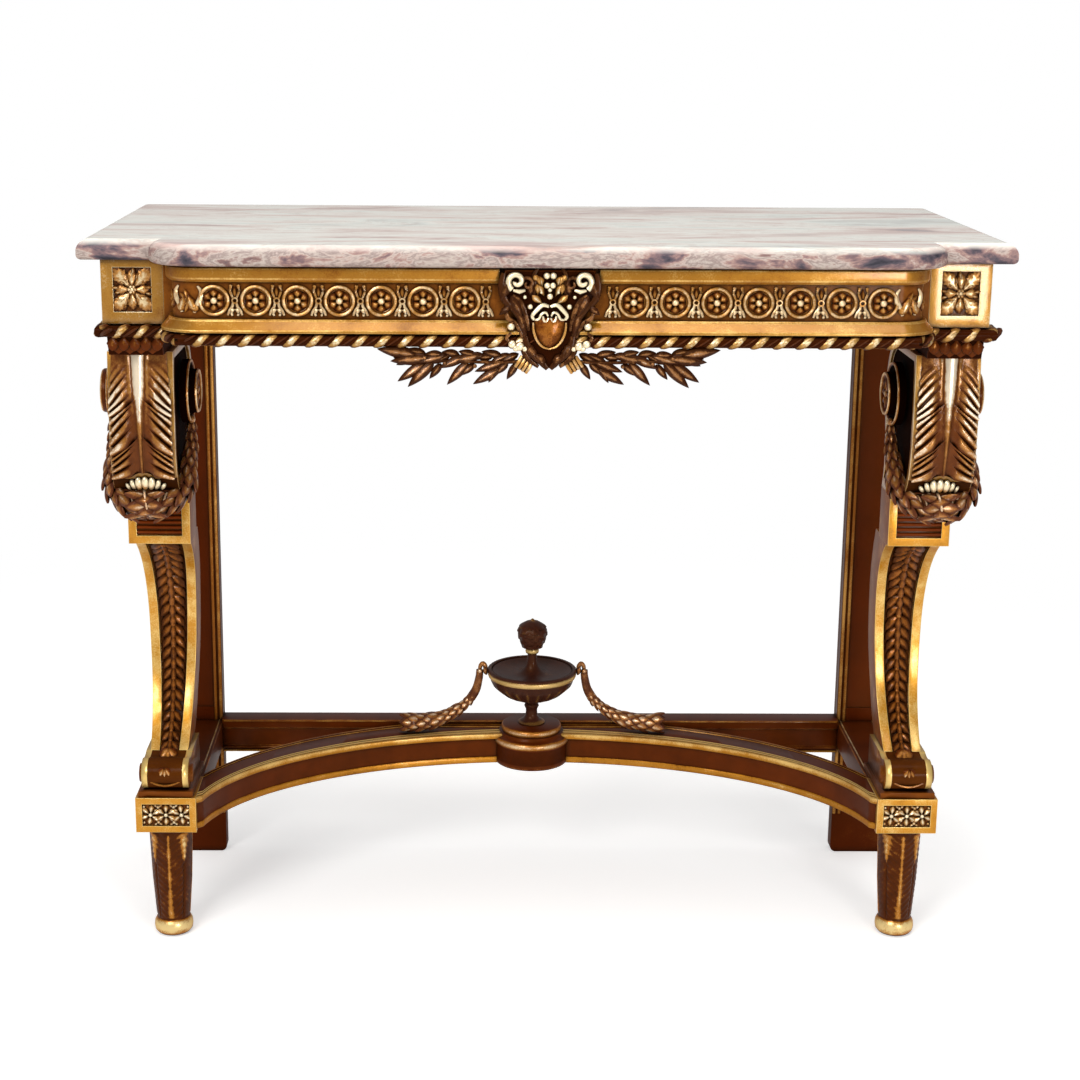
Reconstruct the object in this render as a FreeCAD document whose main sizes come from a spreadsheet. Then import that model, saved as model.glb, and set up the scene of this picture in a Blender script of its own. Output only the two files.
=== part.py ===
import FreeCAD, Part
import math
import os
import re

import PartDesign
import Sketcher
from FreeCAD import Vector

# Pier table (console table): a loose marble slab on a carved, gilded frame.
# Millimetres. +Z up, -Y is the front, origin on the floor under the middle of the slab.

doc = FreeCAD.newDocument("pier_table")

# ---------------------------------------------------------------- driving sizes
sheet = doc.addObject("Spreadsheet::Sheet", "Sizes")
SIZES = (
    # marble slab
    ("slab_width", 1080.0),
    ("slab_depth", 515.0),
    ("slab_thickness", 24.0),
    ("table_height", 933.0),
    ("corner_step", 60.0),
    ("slab_ear", 84.0),
    ("slab_round", 56.0),
    ("slab_edge", 14.0),
    ("slab_under_edge", 6.0),
    ("front_overhang", 18.0),
    ("side_overhang", 24.0),
    ("back_overhang", 3.5),
    # frieze
    ("frieze_height", 92.0),
    ("rail_thickness", 24.0),
    ("field_setback", 3.5),
    ("rail_round", 33.0),
    ("block_width", 72.0),
    ("block_depth", 72.0),
    ("block_border", 14.0),
    ("block_panel_top", 10.0),
    ("block_panel_depth", 4.0),
    ("rosette_proud", 3.5),
    ("rope_height", 16.4),
    ("rope_depth", 16.0),
    ("lower_moulding_height", 15.0),
    ("lower_moulding_depth", 14.0),
    ("upper_moulding_height", 19.0),
    ("upper_moulding_depth", 7.0),
    ("ring_pitch", 47.2),
    ("ring_first", 95.4),
    ("ring_diameter", 36.0),
    ("ring_tube", 5.0),
    ("ring_relief", 4.0),
    ("bearer_width", 60.0),
    ("bearer_height", 24.0),
    ("glue_block_leg", 40.0),
    # cartouche and laurel
    ("cartouche_half_width", 56.0),
    ("cartouche_thickness", 13.0),
    ("shield_half_width", 18.0),
    ("shield_relief", 6.5),
    ("volute_diameter", 24.0),
    ("bead_diameter", 9.0),
    ("spray_reach", 192.0),
    ("spray_drop", 45.0),
    ("leaf_length", 38.0),
    ("leaf_width", 11.0),
    ("leaf_thickness", 5.0),
    # front legs
    ("collar_height", 22.0),
    ("collar_setback", 4.0),
    ("head_width", 78.0),
    ("head_setback", 38.0),
    ("head_height", 195.0),
    ("head_depth", 160.0),
    ("head_rim", 9.0),
    ("head_recess", 4.0),
    ("acanthus_thickness", 8.0),
    ("eye_base_diameter", 78.0),
    ("eye_base_proud", 11.0),
    ("eye_diameter", 54.0),
    ("eye_proud", 20.0),
    ("panel_block_height", 66.0),
    ("panel_block_depth", 56.0),
    ("leg_waist", 62.0),
    ("leg_ankle", 49.0),
    ("leg_depth", 44.0),
    ("leg_sweep", 84.0),
    ("leg_fillet", 12.0),
    ("leg_recess", 4.0),
    ("foot_scroll_width", 60.0),
    ("foot_scroll_height", 40.0),
    ("scroll_plate", 8.0),
    ("plinth_width", 78.0),
    ("plinth_depth", 78.0),
    ("plinth_height", 47.0),
    ("plinth_border", 8.5),
    ("foot_height", 155.0),
    ("foot_top_diameter", 59.0),
    ("foot_ankle_diameter", 43.0),
    ("foot_ring_diameter", 50.0),
    ("foot_ring_height", 20.0),
    ("leg_front", 188.0),
    # back posts and stretchers
    ("post_width", 78.0),
    ("post_thickness", 22.0),
    ("post_border", 13.0),
    ("post_recess", 3.0),
    ("post_toe_round", 8.0),
    ("stretcher_height", 44.0),
    ("stretcher_width", 50.0),
    ("back_stretcher_depth", 32.0),
    ("back_stretcher_rise", 5.0),
    ("arm_reach", 440.0),
    ("arm_bow", 286.0),
    ("arm_width_side", 34.0),
    ("arm_width_middle", 66.0),
    ("arm_fillet_height", 9.0),
    ("arm_face_setback", 6.0),
    # boss and urn
    ("boss_diameter", 104.0),
    ("boss_top_diameter", 82.0),
    ("boss_height", 55.0),
    ("boss_setback", 63.5),
    ("urn_diameter", 124.0),
    ("urn_stem_height", 35.0),
    ("urn_bowl_height", 45.0),
    ("urn_wall", 5.0),
    ("urn_neck_height", 34.0),
    ("finial_height", 50.0),
    ("finial_diameter", 42.0),
    ("handle_wire", 5.0),
    ("swag_reach", 174.0),
    ("swag_diameter", 30.0),
    # joints
    ("dowel_diameter", 12.0),
    ("dowel_length", 40.0),
    ("dowel_clearance", 0.2),
    ("screw_diameter", 4.0),
    ("screw_length", 30.0),
    ("seat_gap", 0.3),
)
for row, (alias, value) in enumerate(SIZES, 1):
    sheet.set("A%d" % row, alias.replace("_", " "))
    sheet.set("B%d" % row, str(value))
    sheet.setAlias("B%d" % row, alias)
doc.recompute()

# ------------------------------------------------- planes that follow from the sizes
levels = doc.addObject("App::VarSet", "Levels")
NAMES = {alias: "Sizes." + alias for alias, value in SIZES}


def bound(text):
    """Write each size's name in an expression with the object that holds it."""
    return re.sub(r"[a-z_]+", lambda m: NAMES.get(m.group(0), m.group(0)), text)


def level(name, text):
    """Add a plane or a radius that follows from the sizes."""
    levels.addProperty("App::PropertyFloat", name, "Levels", "")
    levels.setExpression(name, bound(text))
    NAMES[name] = "Levels." + name


def num(name):
    """Read a size or a level as a number."""
    holder = levels if NAMES[name].startswith("Levels.") else sheet
    return float(getattr(holder, name))


level("slab_front", "-slab_depth/2")
level("slab_bottom", "table_height - slab_thickness")
level("ear_inner", "slab_width/2 - slab_ear")
level("face_main", "-slab_depth/2 + front_overhang")
level("face_corner", "-slab_depth/2 + front_overhang + corner_step")
level("back_plane", "slab_depth/2 - back_overhang")
level("post_front", "slab_depth/2 - back_overhang - post_thickness")
level("side_plane", "slab_width/2 - side_overhang")
level("block_inner", "slab_width/2 - side_overhang - block_width")
level("leg_centre", "slab_width/2 - side_overhang - block_width/2")
level("block_back", "-slab_depth/2 + front_overhang + corner_step + block_depth")
doc.recompute()
level("field_main", "face_main + field_setback")
level("field_side", "side_plane - field_setback - collar_setback/8")
level("field_return", "block_inner - lower_moulding_depth")
level("collar_front", "face_corner + collar_setback")
level("rail_bottom", "slab_bottom - frieze_height")
level("plinth_inner", "leg_centre - plinth_width/2")
level("plinth_top", "foot_height + plinth_height")
level("stretcher_bottom", "foot_height + plinth_height - stretcher_height")
level("plinth_front", "slab_front + leg_front")
level("plinth_back", "slab_front + leg_front + plinth_depth")
level("boss_axis", "slab_depth/2 - boss_setback")
doc.recompute()
level("rope_top", "rail_bottom + rope_height")
level("head_top", "rail_bottom - collar_height")
level("head_front", "face_corner + head_setback")
level("scroll_bottom", "plinth_top + scroll_plate")
level("back_stretcher_front", "back_plane - back_overhang - back_stretcher_depth - 1")
level("boss_top", "stretcher_bottom + boss_height")
doc.recompute()
level("moulding_top", "rope_top + lower_moulding_height")
level("field_top", "slab_bottom - upper_moulding_height")
level("head_bottom", "head_top - head_height")
level("scroll_top", "scroll_bottom + foot_scroll_height")
level("eye_y", "head_front + head_depth*0.48")
level("eye_z", "head_top - head_height*0.31")
level("bowl_bottom", "boss_top + urn_stem_height")
doc.recompute()
level("panel_bottom", "head_bottom - panel_block_height")
level("panel_front", "head_front + head_depth*0.62")
level("rim_top", "bowl_bottom + urn_bowl_height")
doc.recompute()
level("panel_back", "panel_front + panel_block_depth")
level("lid_seat", "rim_top - 11")
level("neck_top", "rim_top - 11 + urn_neck_height")
doc.recompute()

PARTS = []


# ------------------------------------------------------------------ small helpers
def origin_plane(body, role):
    return [f for f in body.Origin.OriginFeatures if f.Role == role][0]


def place(obj, x="0", y="0", z="0"):
    """Bind an object's position to the sizes."""
    for axis, text in zip("xyz", (x, y, z)):
        obj.setExpression("Placement.Base." + axis, bound(text))


def new_sketch(body, name, role):
    sketch = body.newObject("Sketcher::SketchObject", name)
    sketch.AttachmentSupport = [(origin_plane(body, role), "")]
    sketch.MapMode = "FlatFace"
    return sketch


def polygon(body, name, role, corners):
    """A closed outline of straight edges; each corner is bound to the sizes."""
    sketch = new_sketch(body, name, role)
    count = len(corners)
    rough = [Vector(100 * math.cos(i), 100 * math.sin(i), 0) for i in range(count)]
    for i in range(count):
        sketch.addGeometry(Part.LineSegment(rough[i], rough[(i + 1) % count]), False)
    for i in range(count):
        sketch.addConstraint(Sketcher.Constraint("Coincident", i, 2, (i + 1) % count, 1))
    for i, corner in enumerate(corners):
        for kind, text, start in zip(("DistanceX", "DistanceY"), corner, rough[i]):
            index = sketch.addConstraint(Sketcher.Constraint(kind, -1, 1, i, 1, start))
            sketch.setExpression("Constraints[%d]" % index, bound(text))
    return sketch


def circle(body, name, role, x, y, radius):
    """A circle whose centre and radius are bound to the sizes."""
    sketch = new_sketch(body, name, role)
    sketch.addGeometry(Part.Circle(Vector(10, 20, 0), Vector(0, 0, 1), 5), False)
    for kind, text, start in (("DistanceX", x, 10), ("DistanceY", y, 20)):
        index = sketch.addConstraint(Sketcher.Constraint(kind, -1, 1, 0, 3, start))
        sketch.setExpression("Constraints[%d]" % index, bound(text))
    index = sketch.addConstraint(Sketcher.Constraint("Radius", 0, 5))
    sketch.setExpression("Constraints[%d]" % index, bound(radius))
    return sketch


def pad(body, sketch, length, flip=False, both=False):
    feature = body.newObject("PartDesign::Pad", sketch.Name + "_pad")
    feature.Profile = sketch
    feature.Reversed = flip
    feature.Midplane = both
    feature.setExpression("Length", bound(length))
    return feature


def pocket(body, sketch, length, flip=False):
    """Cut an outline into the body and make sure that it did cut."""
    doc.recompute()
    before = body.Shape.Volume
    feature = body.newObject("PartDesign::Pocket", sketch.Name + "_pocket")
    feature.Profile = sketch
    feature.Reversed = flip
    feature.setExpression("Length", bound(length))
    doc.recompute()
    if not body.Shape.Volume < before:
        raise RuntimeError(sketch.Name + " cuts nothing")
    return feature


def dress(body, kind, name, size, chosen):
    """Fillet or chamfer the edges of a body that chosen(edge) picks."""
    doc.recompute()
    base = body.Tip
    edges = ["Edge%d" % (i + 1) for i, e in enumerate(base.Shape.Edges) if chosen(e)]
    feature = body.newObject("PartDesign::" + kind, name)
    feature.Base = (base, edges)
    feature.setExpression("Radius" if kind == "Fillet" else "Size", bound(size))
    doc.recompute()
    return feature


def upright(x, y):
    """Pick the upright edges at a place in plan."""
    def chosen(edge):
        a, b = edge.Vertexes[0].Point, edge.Vertexes[-1].Point
        flat = abs(a.x - b.x) + abs(a.y - b.y) < 0.01
        return flat and abs(abs(a.x) - abs(x)) < 0.05 and abs(a.y - y) < 0.05
    return chosen


def new_body(name):
    return doc.addObject("PartDesign::Body", name)


def keep(label, obj):
    """List an object as a finished sub-part."""
    obj.Label = label
    PARTS.append(obj)
    return obj


def feature(label, shape):
    """A sub-part whose form no sketch or primitive gives."""
    obj = doc.addObject("Part::Feature", label)
    obj.Shape = shape
    obj.Placement = FreeCAD.Placement()
    return obj


def mirrored(label, source):
    """The left-hand twin of a right-hand piece."""
    obj = doc.addObject("Part::Mirroring", label)
    obj.Source = source
    obj.Base = Vector(0, 0, 0)
    obj.Normal = Vector(1, 0, 0)
    return keep(label, obj)


def pair(name, source):
    """Keep a right-hand piece and make its left-hand twin."""
    keep("right_" + name, source)
    mirrored("left_" + name, source)
    return source


def cut(label, base, tool):
    """Base without tool, as a boolean of the document."""
    obj = doc.addObject("Part::Cut", label)
    obj.Base = base
    obj.Tool = tool
    doc.recompute()
    return obj


def group(label, members):
    """Separate solids that share one node."""
    obj = doc.addObject("Part::Compound", label)
    obj.Links = members
    doc.recompute()
    return obj


def block(name, lengths, corner):
    """A rectangular piece from three lengths and its lowest corner."""
    obj = doc.addObject("Part::Box", name)
    for side, text in zip(("Length", "Width", "Height"), lengths):
        obj.setExpression(side, bound(text))
    place(obj, *corner)
    return obj


def rod(name, radius, length, at, axis="Z"):
    """A round bar along X, Y or Z that starts at a point."""
    obj = doc.addObject("Part::Cylinder", name)
    obj.setExpression("Radius", bound(radius))
    obj.setExpression("Height", bound(length))
    turns = {"Z": (Vector(0, 0, 1), 0), "X": (Vector(0, 1, 0), 90), "Y": (Vector(1, 0, 0), -90)}
    obj.Placement = FreeCAD.Placement(Vector(), FreeCAD.Rotation(*turns[axis]))
    place(obj, *at)
    return obj


def curve(points):
    """One smooth edge through points."""
    spline = Part.BSplineCurve()
    spline.interpolate(points)
    return spline.toShape()


def line(a, b):
    return Part.LineSegment(a, b).toShape()


def flat(edges):
    return Part.Face(Part.Wire(edges))


def turned(profile, y=0.0, x=0.0):
    """Revolve (radius, height) points about an upright axis; None starts a sharp corner."""
    runs, run = [], []
    for point in profile:
        if point is None:
            runs.append(run)
            run = [run[-1]]
        else:
            run.append(Vector(x + point[0], y, point[1]))
    runs.append(run)
    edges = [line(*r) if len(r) == 2 else curve(r) for r in runs]
    start, end = runs[0][0], runs[-1][-1]
    edges.append(line(end, start))
    return flat(edges).revolve(Vector(x, y, 0), Vector(0, 0, 1), 360)


def swag(points, radii):
    """A tapering round rope of leaves through points."""
    sections = []
    for i, (p, r) in enumerate(zip(points, radii)):
        ahead = points[min(i + 1, len(points) - 1)]
        behind = points[max(i - 1, 0)]
        run = (ahead - behind).normalize()
        across = (Vector(0, 1, 0) - run * run.y).normalize()
        up = run.cross(across)
        turns = [math.pi * k / 5 for k in range(11)]
        sections.append(Part.makePolygon(
            [p + across * (r * math.cos(a)) + up * (r * math.sin(a)) for a in turns]))
    return Part.makeLoft(sections, True, False)


def leaf(length, width, thickness, at, angle, y):
    """A pointed leaf blade in a plane that faces the front."""
    tip, side = Vector(length, 0, 0), Vector(length * 0.45, 0, width / 2)
    upper = Part.Arc(Vector(), side, tip).toShape()
    lower = Part.Arc(tip, Vector(side.x, 0, -side.z), Vector()).toShape()
    blade = flat([upper, lower]).extrude(Vector(0, thickness, 0))
    blade.rotate(Vector(), Vector(0, -1, 0), angle)
    blade.translate(Vector(at[0], y, at[1]))
    return blade


# --------------------------------------------------------------------- marble top
# One slab, 24 mm thick, that rests on the frame by its weight. The middle of its
# front steps forward between square ears, with a rounded corner on each side.
slab = new_body("marble_top_body")
pad(slab, polygon(slab, "slab_plan", "XY_Plane", (
    ("-slab_width/2", "slab_depth/2"),
    ("-slab_width/2", "slab_front + corner_step"),
    ("-ear_inner", "slab_front + corner_step"),
    ("-ear_inner", "slab_front"),
    ("ear_inner", "slab_front"),
    ("ear_inner", "slab_front + corner_step"),
    ("slab_width/2", "slab_front + corner_step"),
    ("slab_width/2", "slab_depth/2"))), "slab_thickness")
place(slab, z="slab_bottom")
dress(slab, "Fillet", "slab_plan_round", "slab_round", upright(num("ear_inner"), num("slab_front")))


def slab_rim(height):
    def chosen(edge):
        box = edge.BoundBox
        level_edge = abs(box.ZMin - height) < 0.01 and abs(box.ZMax - height) < 0.01
        return level_edge and box.YMin < num("slab_depth") / 2 - 1
    return chosen


dress(slab, "Fillet", "slab_top_edge", "slab_edge", slab_rim(num("slab_thickness")))
dress(slab, "Fillet", "slab_lower_edge", "slab_under_edge", slab_rim(0))
keep("marble_top", slab)

# ------------------------------------------------------------------ dowels and holes
# Beech dowels hold the glued joints. Each lies in a hole that is wider by a clearance.
DOWELS = (
    ("collar", "Z", ("leg_centre", "block_back - block_depth/4", "head_top - dowel_length/2"),
     "dowel_length + collar_height"),
    ("knee", "Z", ("leg_centre", "(panel_front + panel_back)/2", "head_bottom - dowel_length/2"),
     "dowel_length"),
    ("ankle", "Z", ("leg_centre", "plinth_back + 10", "scroll_top - dowel_length*0.7"),
     "dowel_length*1.2"),
    ("foot", "Z", ("leg_centre", "(plinth_front + plinth_back)/2", "foot_height - dowel_length"),
     "dowel_length*1.5 + plinth_height"),
    ("rail", "X", ("block_inner - dowel_length/2 + 2", "(face_corner + block_back)/2", "slab_bottom - 40"),
     "dowel_length - 2"),
    ("side_front", "Y", ("field_side - rail_thickness/2", "block_back - dowel_length/2", "slab_bottom - 40"),
     "dowel_length"),
    ("side_back", "Y", ("field_side - rail_thickness/2", "post_front - dowel_length/2", "slab_bottom - 40"),
     "dowel_length*0.9"),
    ("back_rail", "X", ("plinth_inner - dowel_length/2", "(post_front + back_plane)/2", "slab_bottom - 62"),
     "dowel_length"),
    ("arm", "X", ("plinth_inner - dowel_length*0.3", "plinth_back - dowel_diameter*1.5", "plinth_top - 22"),
     "dowel_length*0.8"),
    ("side_stretcher", "Y", ("plinth_inner + 31", "plinth_back - dowel_length/2", "plinth_top - 22"),
     "dowel_length"),
    ("post_stretcher", "Y", ("plinth_inner + 31", "post_front - dowel_length/2", "plinth_top - 22"),
     "dowel_length*0.9"),
    ("back_stretcher", "X", ("plinth_inner - dowel_length/2", "post_front + 9", "plinth_top - 22"),
     "dowel_length"),
)


def dowels(side):
    """The dowels and the holes of one side of the table."""
    pins, holes = [], []
    for name, axis, at, length in DOWELS:
        pins.append(rod(name + "_dowel", "dowel_diameter/2", length, at, axis))
        hole = list(at)
        index = "XYZ".index(axis)
        hole[index] = at[index] + " - dowel_clearance"
        holes.append(rod(name + "_hole", "dowel_diameter/2 + dowel_clearance",
                         length + " + 2*dowel_clearance", hole, axis))
    return group(side + "_dowels", pins), group(side + "_holes", holes)


right_dowels, right_holes = dowels("right")
left_dowels = doc.addObject("Part::Mirroring", "left_dowel_set")
left_dowels.Source = right_dowels
left_dowels.Normal = Vector(1, 0, 0)
left_holes = doc.addObject("Part::Mirroring", "left_hole_set")
left_holes.Source = right_holes
left_holes.Normal = Vector(1, 0, 0)
all_holes = group("all_holes", [right_holes, left_holes])

# One screw fixes each corner glue block to its side rail.
screw_at = ("field_side - rail_thickness - screw_length*0.6", "post_front - glue_block_leg*0.5",
            "rail_bottom + frieze_height*0.35")
screw = rod("glue_screw", "screw_diameter/2", "screw_length", screw_at, "X")
screw_hole = rod("glue_screw_hole", "screw_diameter/2 + dowel_clearance/2",
                 "screw_length + dowel_clearance/2", screw_at, "X")
rail_holes = group("rail_holes", [right_holes, screw_hole])

# ------------------------------------------------------------------ frieze, structure
# The front rail is bent round at both ends and is glued along the corner blocks.
front = new_body("front_rail_body")
pad(front, polygon(front, "front_rail_plan", "XY_Plane", (
    ("-block_inner", "face_corner + 60"),
    ("-block_inner", "face_corner"),
    ("-field_return", "face_corner"),
    ("-field_return", "field_main"),
    ("field_return", "field_main"),
    ("field_return", "face_corner"),
    ("block_inner", "face_corner"),
    ("block_inner", "face_corner + 60"),
    ("field_return - rail_thickness", "face_corner + 60"),
    ("field_return - rail_thickness", "field_main + rail_thickness"),
    ("-field_return + rail_thickness", "field_main + rail_thickness"),
    ("-field_return + rail_thickness", "face_corner + 60"))), "frieze_height")
place(front, z="rail_bottom")
dress(front, "Fillet", "front_rail_outer", "rail_round",
      upright(num("field_return"), num("field_main")))
dress(front, "Fillet", "front_rail_inner", "rail_round - rail_thickness",
      upright(num("field_return") - num("rail_thickness"), num("field_main") + num("rail_thickness")))
keep("front_rail", cut("front_rail_cut", front, all_holes))

side_rail = block("side_rail_blank",
                  ("rail_thickness", "post_front - block_back", "frieze_height"),
                  ("field_side - rail_thickness", "block_back", "rail_bottom"))
pair("side_rail", cut("side_rail_cut", side_rail, rail_holes))

back_rail = block("back_rail_blank",
                  ("2*plinth_inner", "post_thickness", "frieze_height"),
                  ("-plinth_inner", "post_front", "rail_bottom"))
keep("back_rail", cut("back_rail_cut", back_rail, all_holes))

# A flat bearer under the middle of the slab, let in between the front and back rails.
keep("centre_bearer", block("centre_bearer_blank",
                            ("bearer_width", "post_front - field_main - rail_thickness", "bearer_height"),
                            ("-bearer_width/2", "field_main + rail_thickness", "slab_bottom - bearer_height")))

# Triangular glue blocks with one screw each tie the side rails to the back rail.
glue = new_body("glue_block_body")
pad(glue, polygon(glue, "glue_block_plan", "XY_Plane", (
    ("field_side - rail_thickness", "post_front - glue_block_leg*1.5"),
    ("field_side - rail_thickness", "post_front"),
    ("field_side - rail_thickness - glue_block_leg*1.5", "post_front"))), "frieze_height*0.5")
place(glue, z="rail_bottom + frieze_height*0.25")
glue_cut = cut("glue_block_cut", glue, screw_hole)
glue_twin = doc.addObject("Part::Mirroring", "glue_block_twin")
glue_twin.Source = glue_cut
glue_twin.Normal = Vector(1, 0, 0)
keep("corner_glue_blocks", group("glue_blocks", [glue_cut, glue_twin]))
screw_twin = doc.addObject("Part::Mirroring", "glue_screw_twin")
screw_twin.Source = screw
screw_twin.Normal = Vector(1, 0, 0)
keep("glue_block_screws", group("glue_screws", [screw, screw_twin]))

# Square corner blocks over the front legs, with a sunk panel on the front and the side.
corner = new_body("corner_block_body")
pad(corner, polygon(corner, "corner_block_plan", "XY_Plane", (
    ("block_inner", "face_corner"),
    ("side_plane", "face_corner"),
    ("side_plane", "block_back"),
    ("block_inner", "block_back"))), "slab_bottom - rope_top")
place(corner, z="rope_top")
PANEL = (("rope_top + block_border", "slab_bottom - block_panel_top"),)
panel_front = block("corner_panel_front",
                    ("block_width - 2*block_border", "block_panel_depth + 1",
                     "slab_bottom - rope_top - block_border - block_panel_top"),
                    ("block_inner + block_border", "face_corner - 1", "rope_top + block_border"))
panel_side = block("corner_panel_side",
                   ("block_panel_depth + 1", "block_depth - 2*block_border",
                    "slab_bottom - rope_top - block_border - block_panel_top"),
                   ("side_plane - block_panel_depth", "face_corner + block_border", "rope_top + block_border"))
corner_tools = group("corner_tools", [panel_front, panel_side, right_holes])
pair("corner_block", cut("corner_block_cut", corner, corner_tools))


# Carved rosettes stand in the sunk panels: four petals round a boss on a thin ground.
def rosette_plaque():
    side = (num("block_width") - 2 * num("block_border")) / 2 - num("seat_gap")
    tall = (num("slab_bottom") - num("rope_top") - num("block_border") - num("block_panel_top")) / 2
    deep = num("block_panel_depth")
    plaque = Part.makeBox(2 * side, deep - 1.5, 2 * tall - 2 * num("seat_gap"),
                          Vector(-side, -deep + 1.5, -tall + num("seat_gap")))
    for turn in range(4):
        petal = leaf(side * 1.1, side * 0.8, deep + num("rosette_proud") - 0.5,
                     (0, 0), 45 + 90 * turn, -deep - num("rosette_proud") + 0.5)
        plaque = plaque.fuse(petal)
    boss = Part.makeCylinder(side * 0.24, deep + num("rosette_proud"),
                             Vector(0, 0, 0), Vector(0, -1, 0))
    return plaque.fuse(boss).removeSplitter(), tall


plaque, plaque_tall = rosette_plaque()
plaque_z = num("rope_top") + num("block_border") + plaque_tall
front_plaque = plaque.copy()
front_plaque.translate(Vector(num("leg_centre"), num("face_corner") + num("block_panel_depth"), plaque_z))
side_plaque = plaque.copy()
side_plaque.rotate(Vector(), Vector(0, 0, 1), 90)
side_plaque.translate(Vector(num("side_plane") - num("block_panel_depth"),
                             num("face_corner") + num("block_depth") / 2, plaque_z))
plaques = [front_plaque, side_plaque]
plaques += [p.mirror(Vector(), Vector(1, 0, 0)) for p in plaques]
keep("corner_rosettes", feature("corner_rosettes", Part.makeCompound(plaques)))


# ----------------------------------------------------------------- frieze, mouldings
def front_run(profile, start):
    """Sweep a section along the right half of the bowed front, from start to the corner block."""
    y, r = num("field_main"), num("rail_round")
    x_end, y_end = num("field_return"), num("face_corner")
    centre = Vector(x_end - r, y + r, 0)
    mid = centre + Vector(r * math.sin(math.pi / 4), -r * math.cos(math.pi / 4), 0)
    path = Part.Wire([line(Vector(start, y, 0), Vector(x_end - r, y, 0)),
                      Part.Arc(Vector(x_end - r, y, 0), mid, Vector(x_end, y + r, 0)).toShape(),
                      line(Vector(x_end, y + r, 0), Vector(x_end, y_end, 0))])
    points = [Vector(start, y - out, height) for out, height in profile]
    section = Part.makePolygon(points + [points[0]])
    return path.makePipeShell([section], True, False)


def both_halves(shape):
    return Part.makeCompound([shape, shape.mirror(Vector(), Vector(1, 0, 0))])


def side_run(profile, y_start, y_end):
    """Extrude a section along the right side rail."""
    x = num("field_side")
    points = [Vector(x + out, y_start, height) for out, height in profile]
    return flat([line(a, b) for a, b in zip(points, points[1:] + points[:1])]).extrude(
        Vector(0, y_end - y_start, 0))


def upper_section():
    low, high, out = num("field_top"), num("slab_bottom"), num("upper_moulding_depth")
    return [(0, low), (out * 0.55, low), (out, low + 4), (out, high - 3), (out * 0.6, high), (0, high)]


def lower_section():
    low, high, out = num("rope_top"), num("moulding_top"), num("lower_moulding_depth")
    return [(0, low), (out, low), (out, low + 3), (out * 0.36, high - 2), (out * 0.36, high), (0, high)]


def rope_section():
    low, high, out = num("rail_bottom"), num("rope_top"), num("rope_depth")
    radius = (high - low) / 2
    arc = [(out - radius + radius * math.sin(a), low + radius - radius * math.cos(a))
           for a in [math.pi * i / 8 for i in range(9)]]
    return [(0, low)] + arc + [(0, high)]


keep("front_upper_moulding", feature("front_upper_moulding", both_halves(
    front_run(upper_section(), num("cartouche_half_width") + num("seat_gap")))))
keep("side_upper_mouldings", feature("side_upper_mouldings", both_halves(
    side_run(upper_section(), num("block_back"), num("post_front")))))
keep("front_lower_moulding", feature("front_lower_moulding", both_halves(
    front_run(lower_section(), num("cartouche_half_width") * 0.6))))
keep("side_lower_mouldings", feature("side_lower_mouldings", both_halves(
    side_run(lower_section(), num("block_back"), num("post_front")))))

# The ribbon-twist rope runs under the front, round each corner and along the sides.
rope_stop = Part.makeBox(200, 200, 200, Vector(num("field_return") - 150,
                         num("collar_front") - num("rope_depth"), num("rail_bottom") - 50))
front_rope = front_run(rope_section(), num("cartouche_half_width") * 0.58).cut(rope_stop)
keep("front_rope", feature("front_rope", both_halves(front_rope)))


def corner_rope():
    """The rope round one corner: a front run and a side run that meet in a mitre."""
    x, y = num("field_side"), num("collar_front")
    points = [Vector(num("block_inner"), y - out, height) for out, height in rope_section()]
    reach = num("rope_depth") + 1
    ahead = flat([line(a, b) for a, b in zip(points, points[1:] + points[:1])]).extrude(
        Vector(x + reach - num("block_inner"), 0, 0))
    along = side_run(rope_section(), y - reach, num("post_front"))
    low = num("rail_bottom") - 1
    wedge = flat([line(Vector(x, y, low), Vector(x + 60, y - 60, low)),
                  line(Vector(x + 60, y - 60, low), Vector(x - 900, y - 60, low)),
                  line(Vector(x - 900, y - 60, low), Vector(x - 900, y, low)),
                  line(Vector(x - 900, y, low), Vector(x, y, low))]).extrude(Vector(0, 0, 60))
    return ahead.common(wedge).fuse(along.cut(wedge)).removeSplitter()


pair("corner_rope", feature("right_corner_rope", corner_rope()))


# Carved rings with a flower boss stand along the frieze, linked by small knots.
def frieze_ring(x):
    outer, tube, relief = num("ring_diameter") / 2, num("ring_tube"), num("ring_relief")
    z = (num("moulding_top") + num("field_top")) / 2
    y = num("field_main")
    axis = Vector(0, -1, 0)
    ring = Part.makeCylinder(outer, relief, Vector(x, y, z), axis).cut(
        Part.makeCylinder(outer - tube, relief, Vector(x, y, z), axis))
    ground = Part.makeCylinder(outer - tube, relief * 0.35, Vector(x, y, z), axis)
    boss = Part.makeSphere(tube * 0.75, Vector(x, y - relief * 0.5, z))
    boss = boss.cut(Part.makeBox(40, 40, 40, Vector(x - 20, y, z - 20)))
    petals = Part.makeCone(outer * 0.62, outer * 0.35, relief * 0.9, Vector(x, y, z), axis)
    return ring.fuse([ground, petals, boss]).removeSplitter()


def frieze_link(x):
    z = (num("moulding_top") + num("field_top")) / 2
    gap = num("ring_pitch") - num("ring_diameter")
    half = gap / 2 - num("seat_gap")
    tall = (num("field_top") - num("moulding_top")) / 2 - 1
    y = num("field_main")
    edges = [(half, 0), (half * 0.6, tall * 0.45), (half * 1.3, tall), (-half * 1.3, tall),
             (-half * 0.6, tall * 0.45), (-half, 0), (-half * 0.6, -tall * 0.45),
             (-half * 1.3, -tall), (half * 1.3, -tall), (half * 0.6, -tall * 0.45)]
    points = [Vector(x + a, y, z + b) for a, b in edges]
    return Part.Face(Part.makePolygon(points + [points[0]])).extrude(
        Vector(0, -num("ring_relief") * 0.7, 0))


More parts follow.
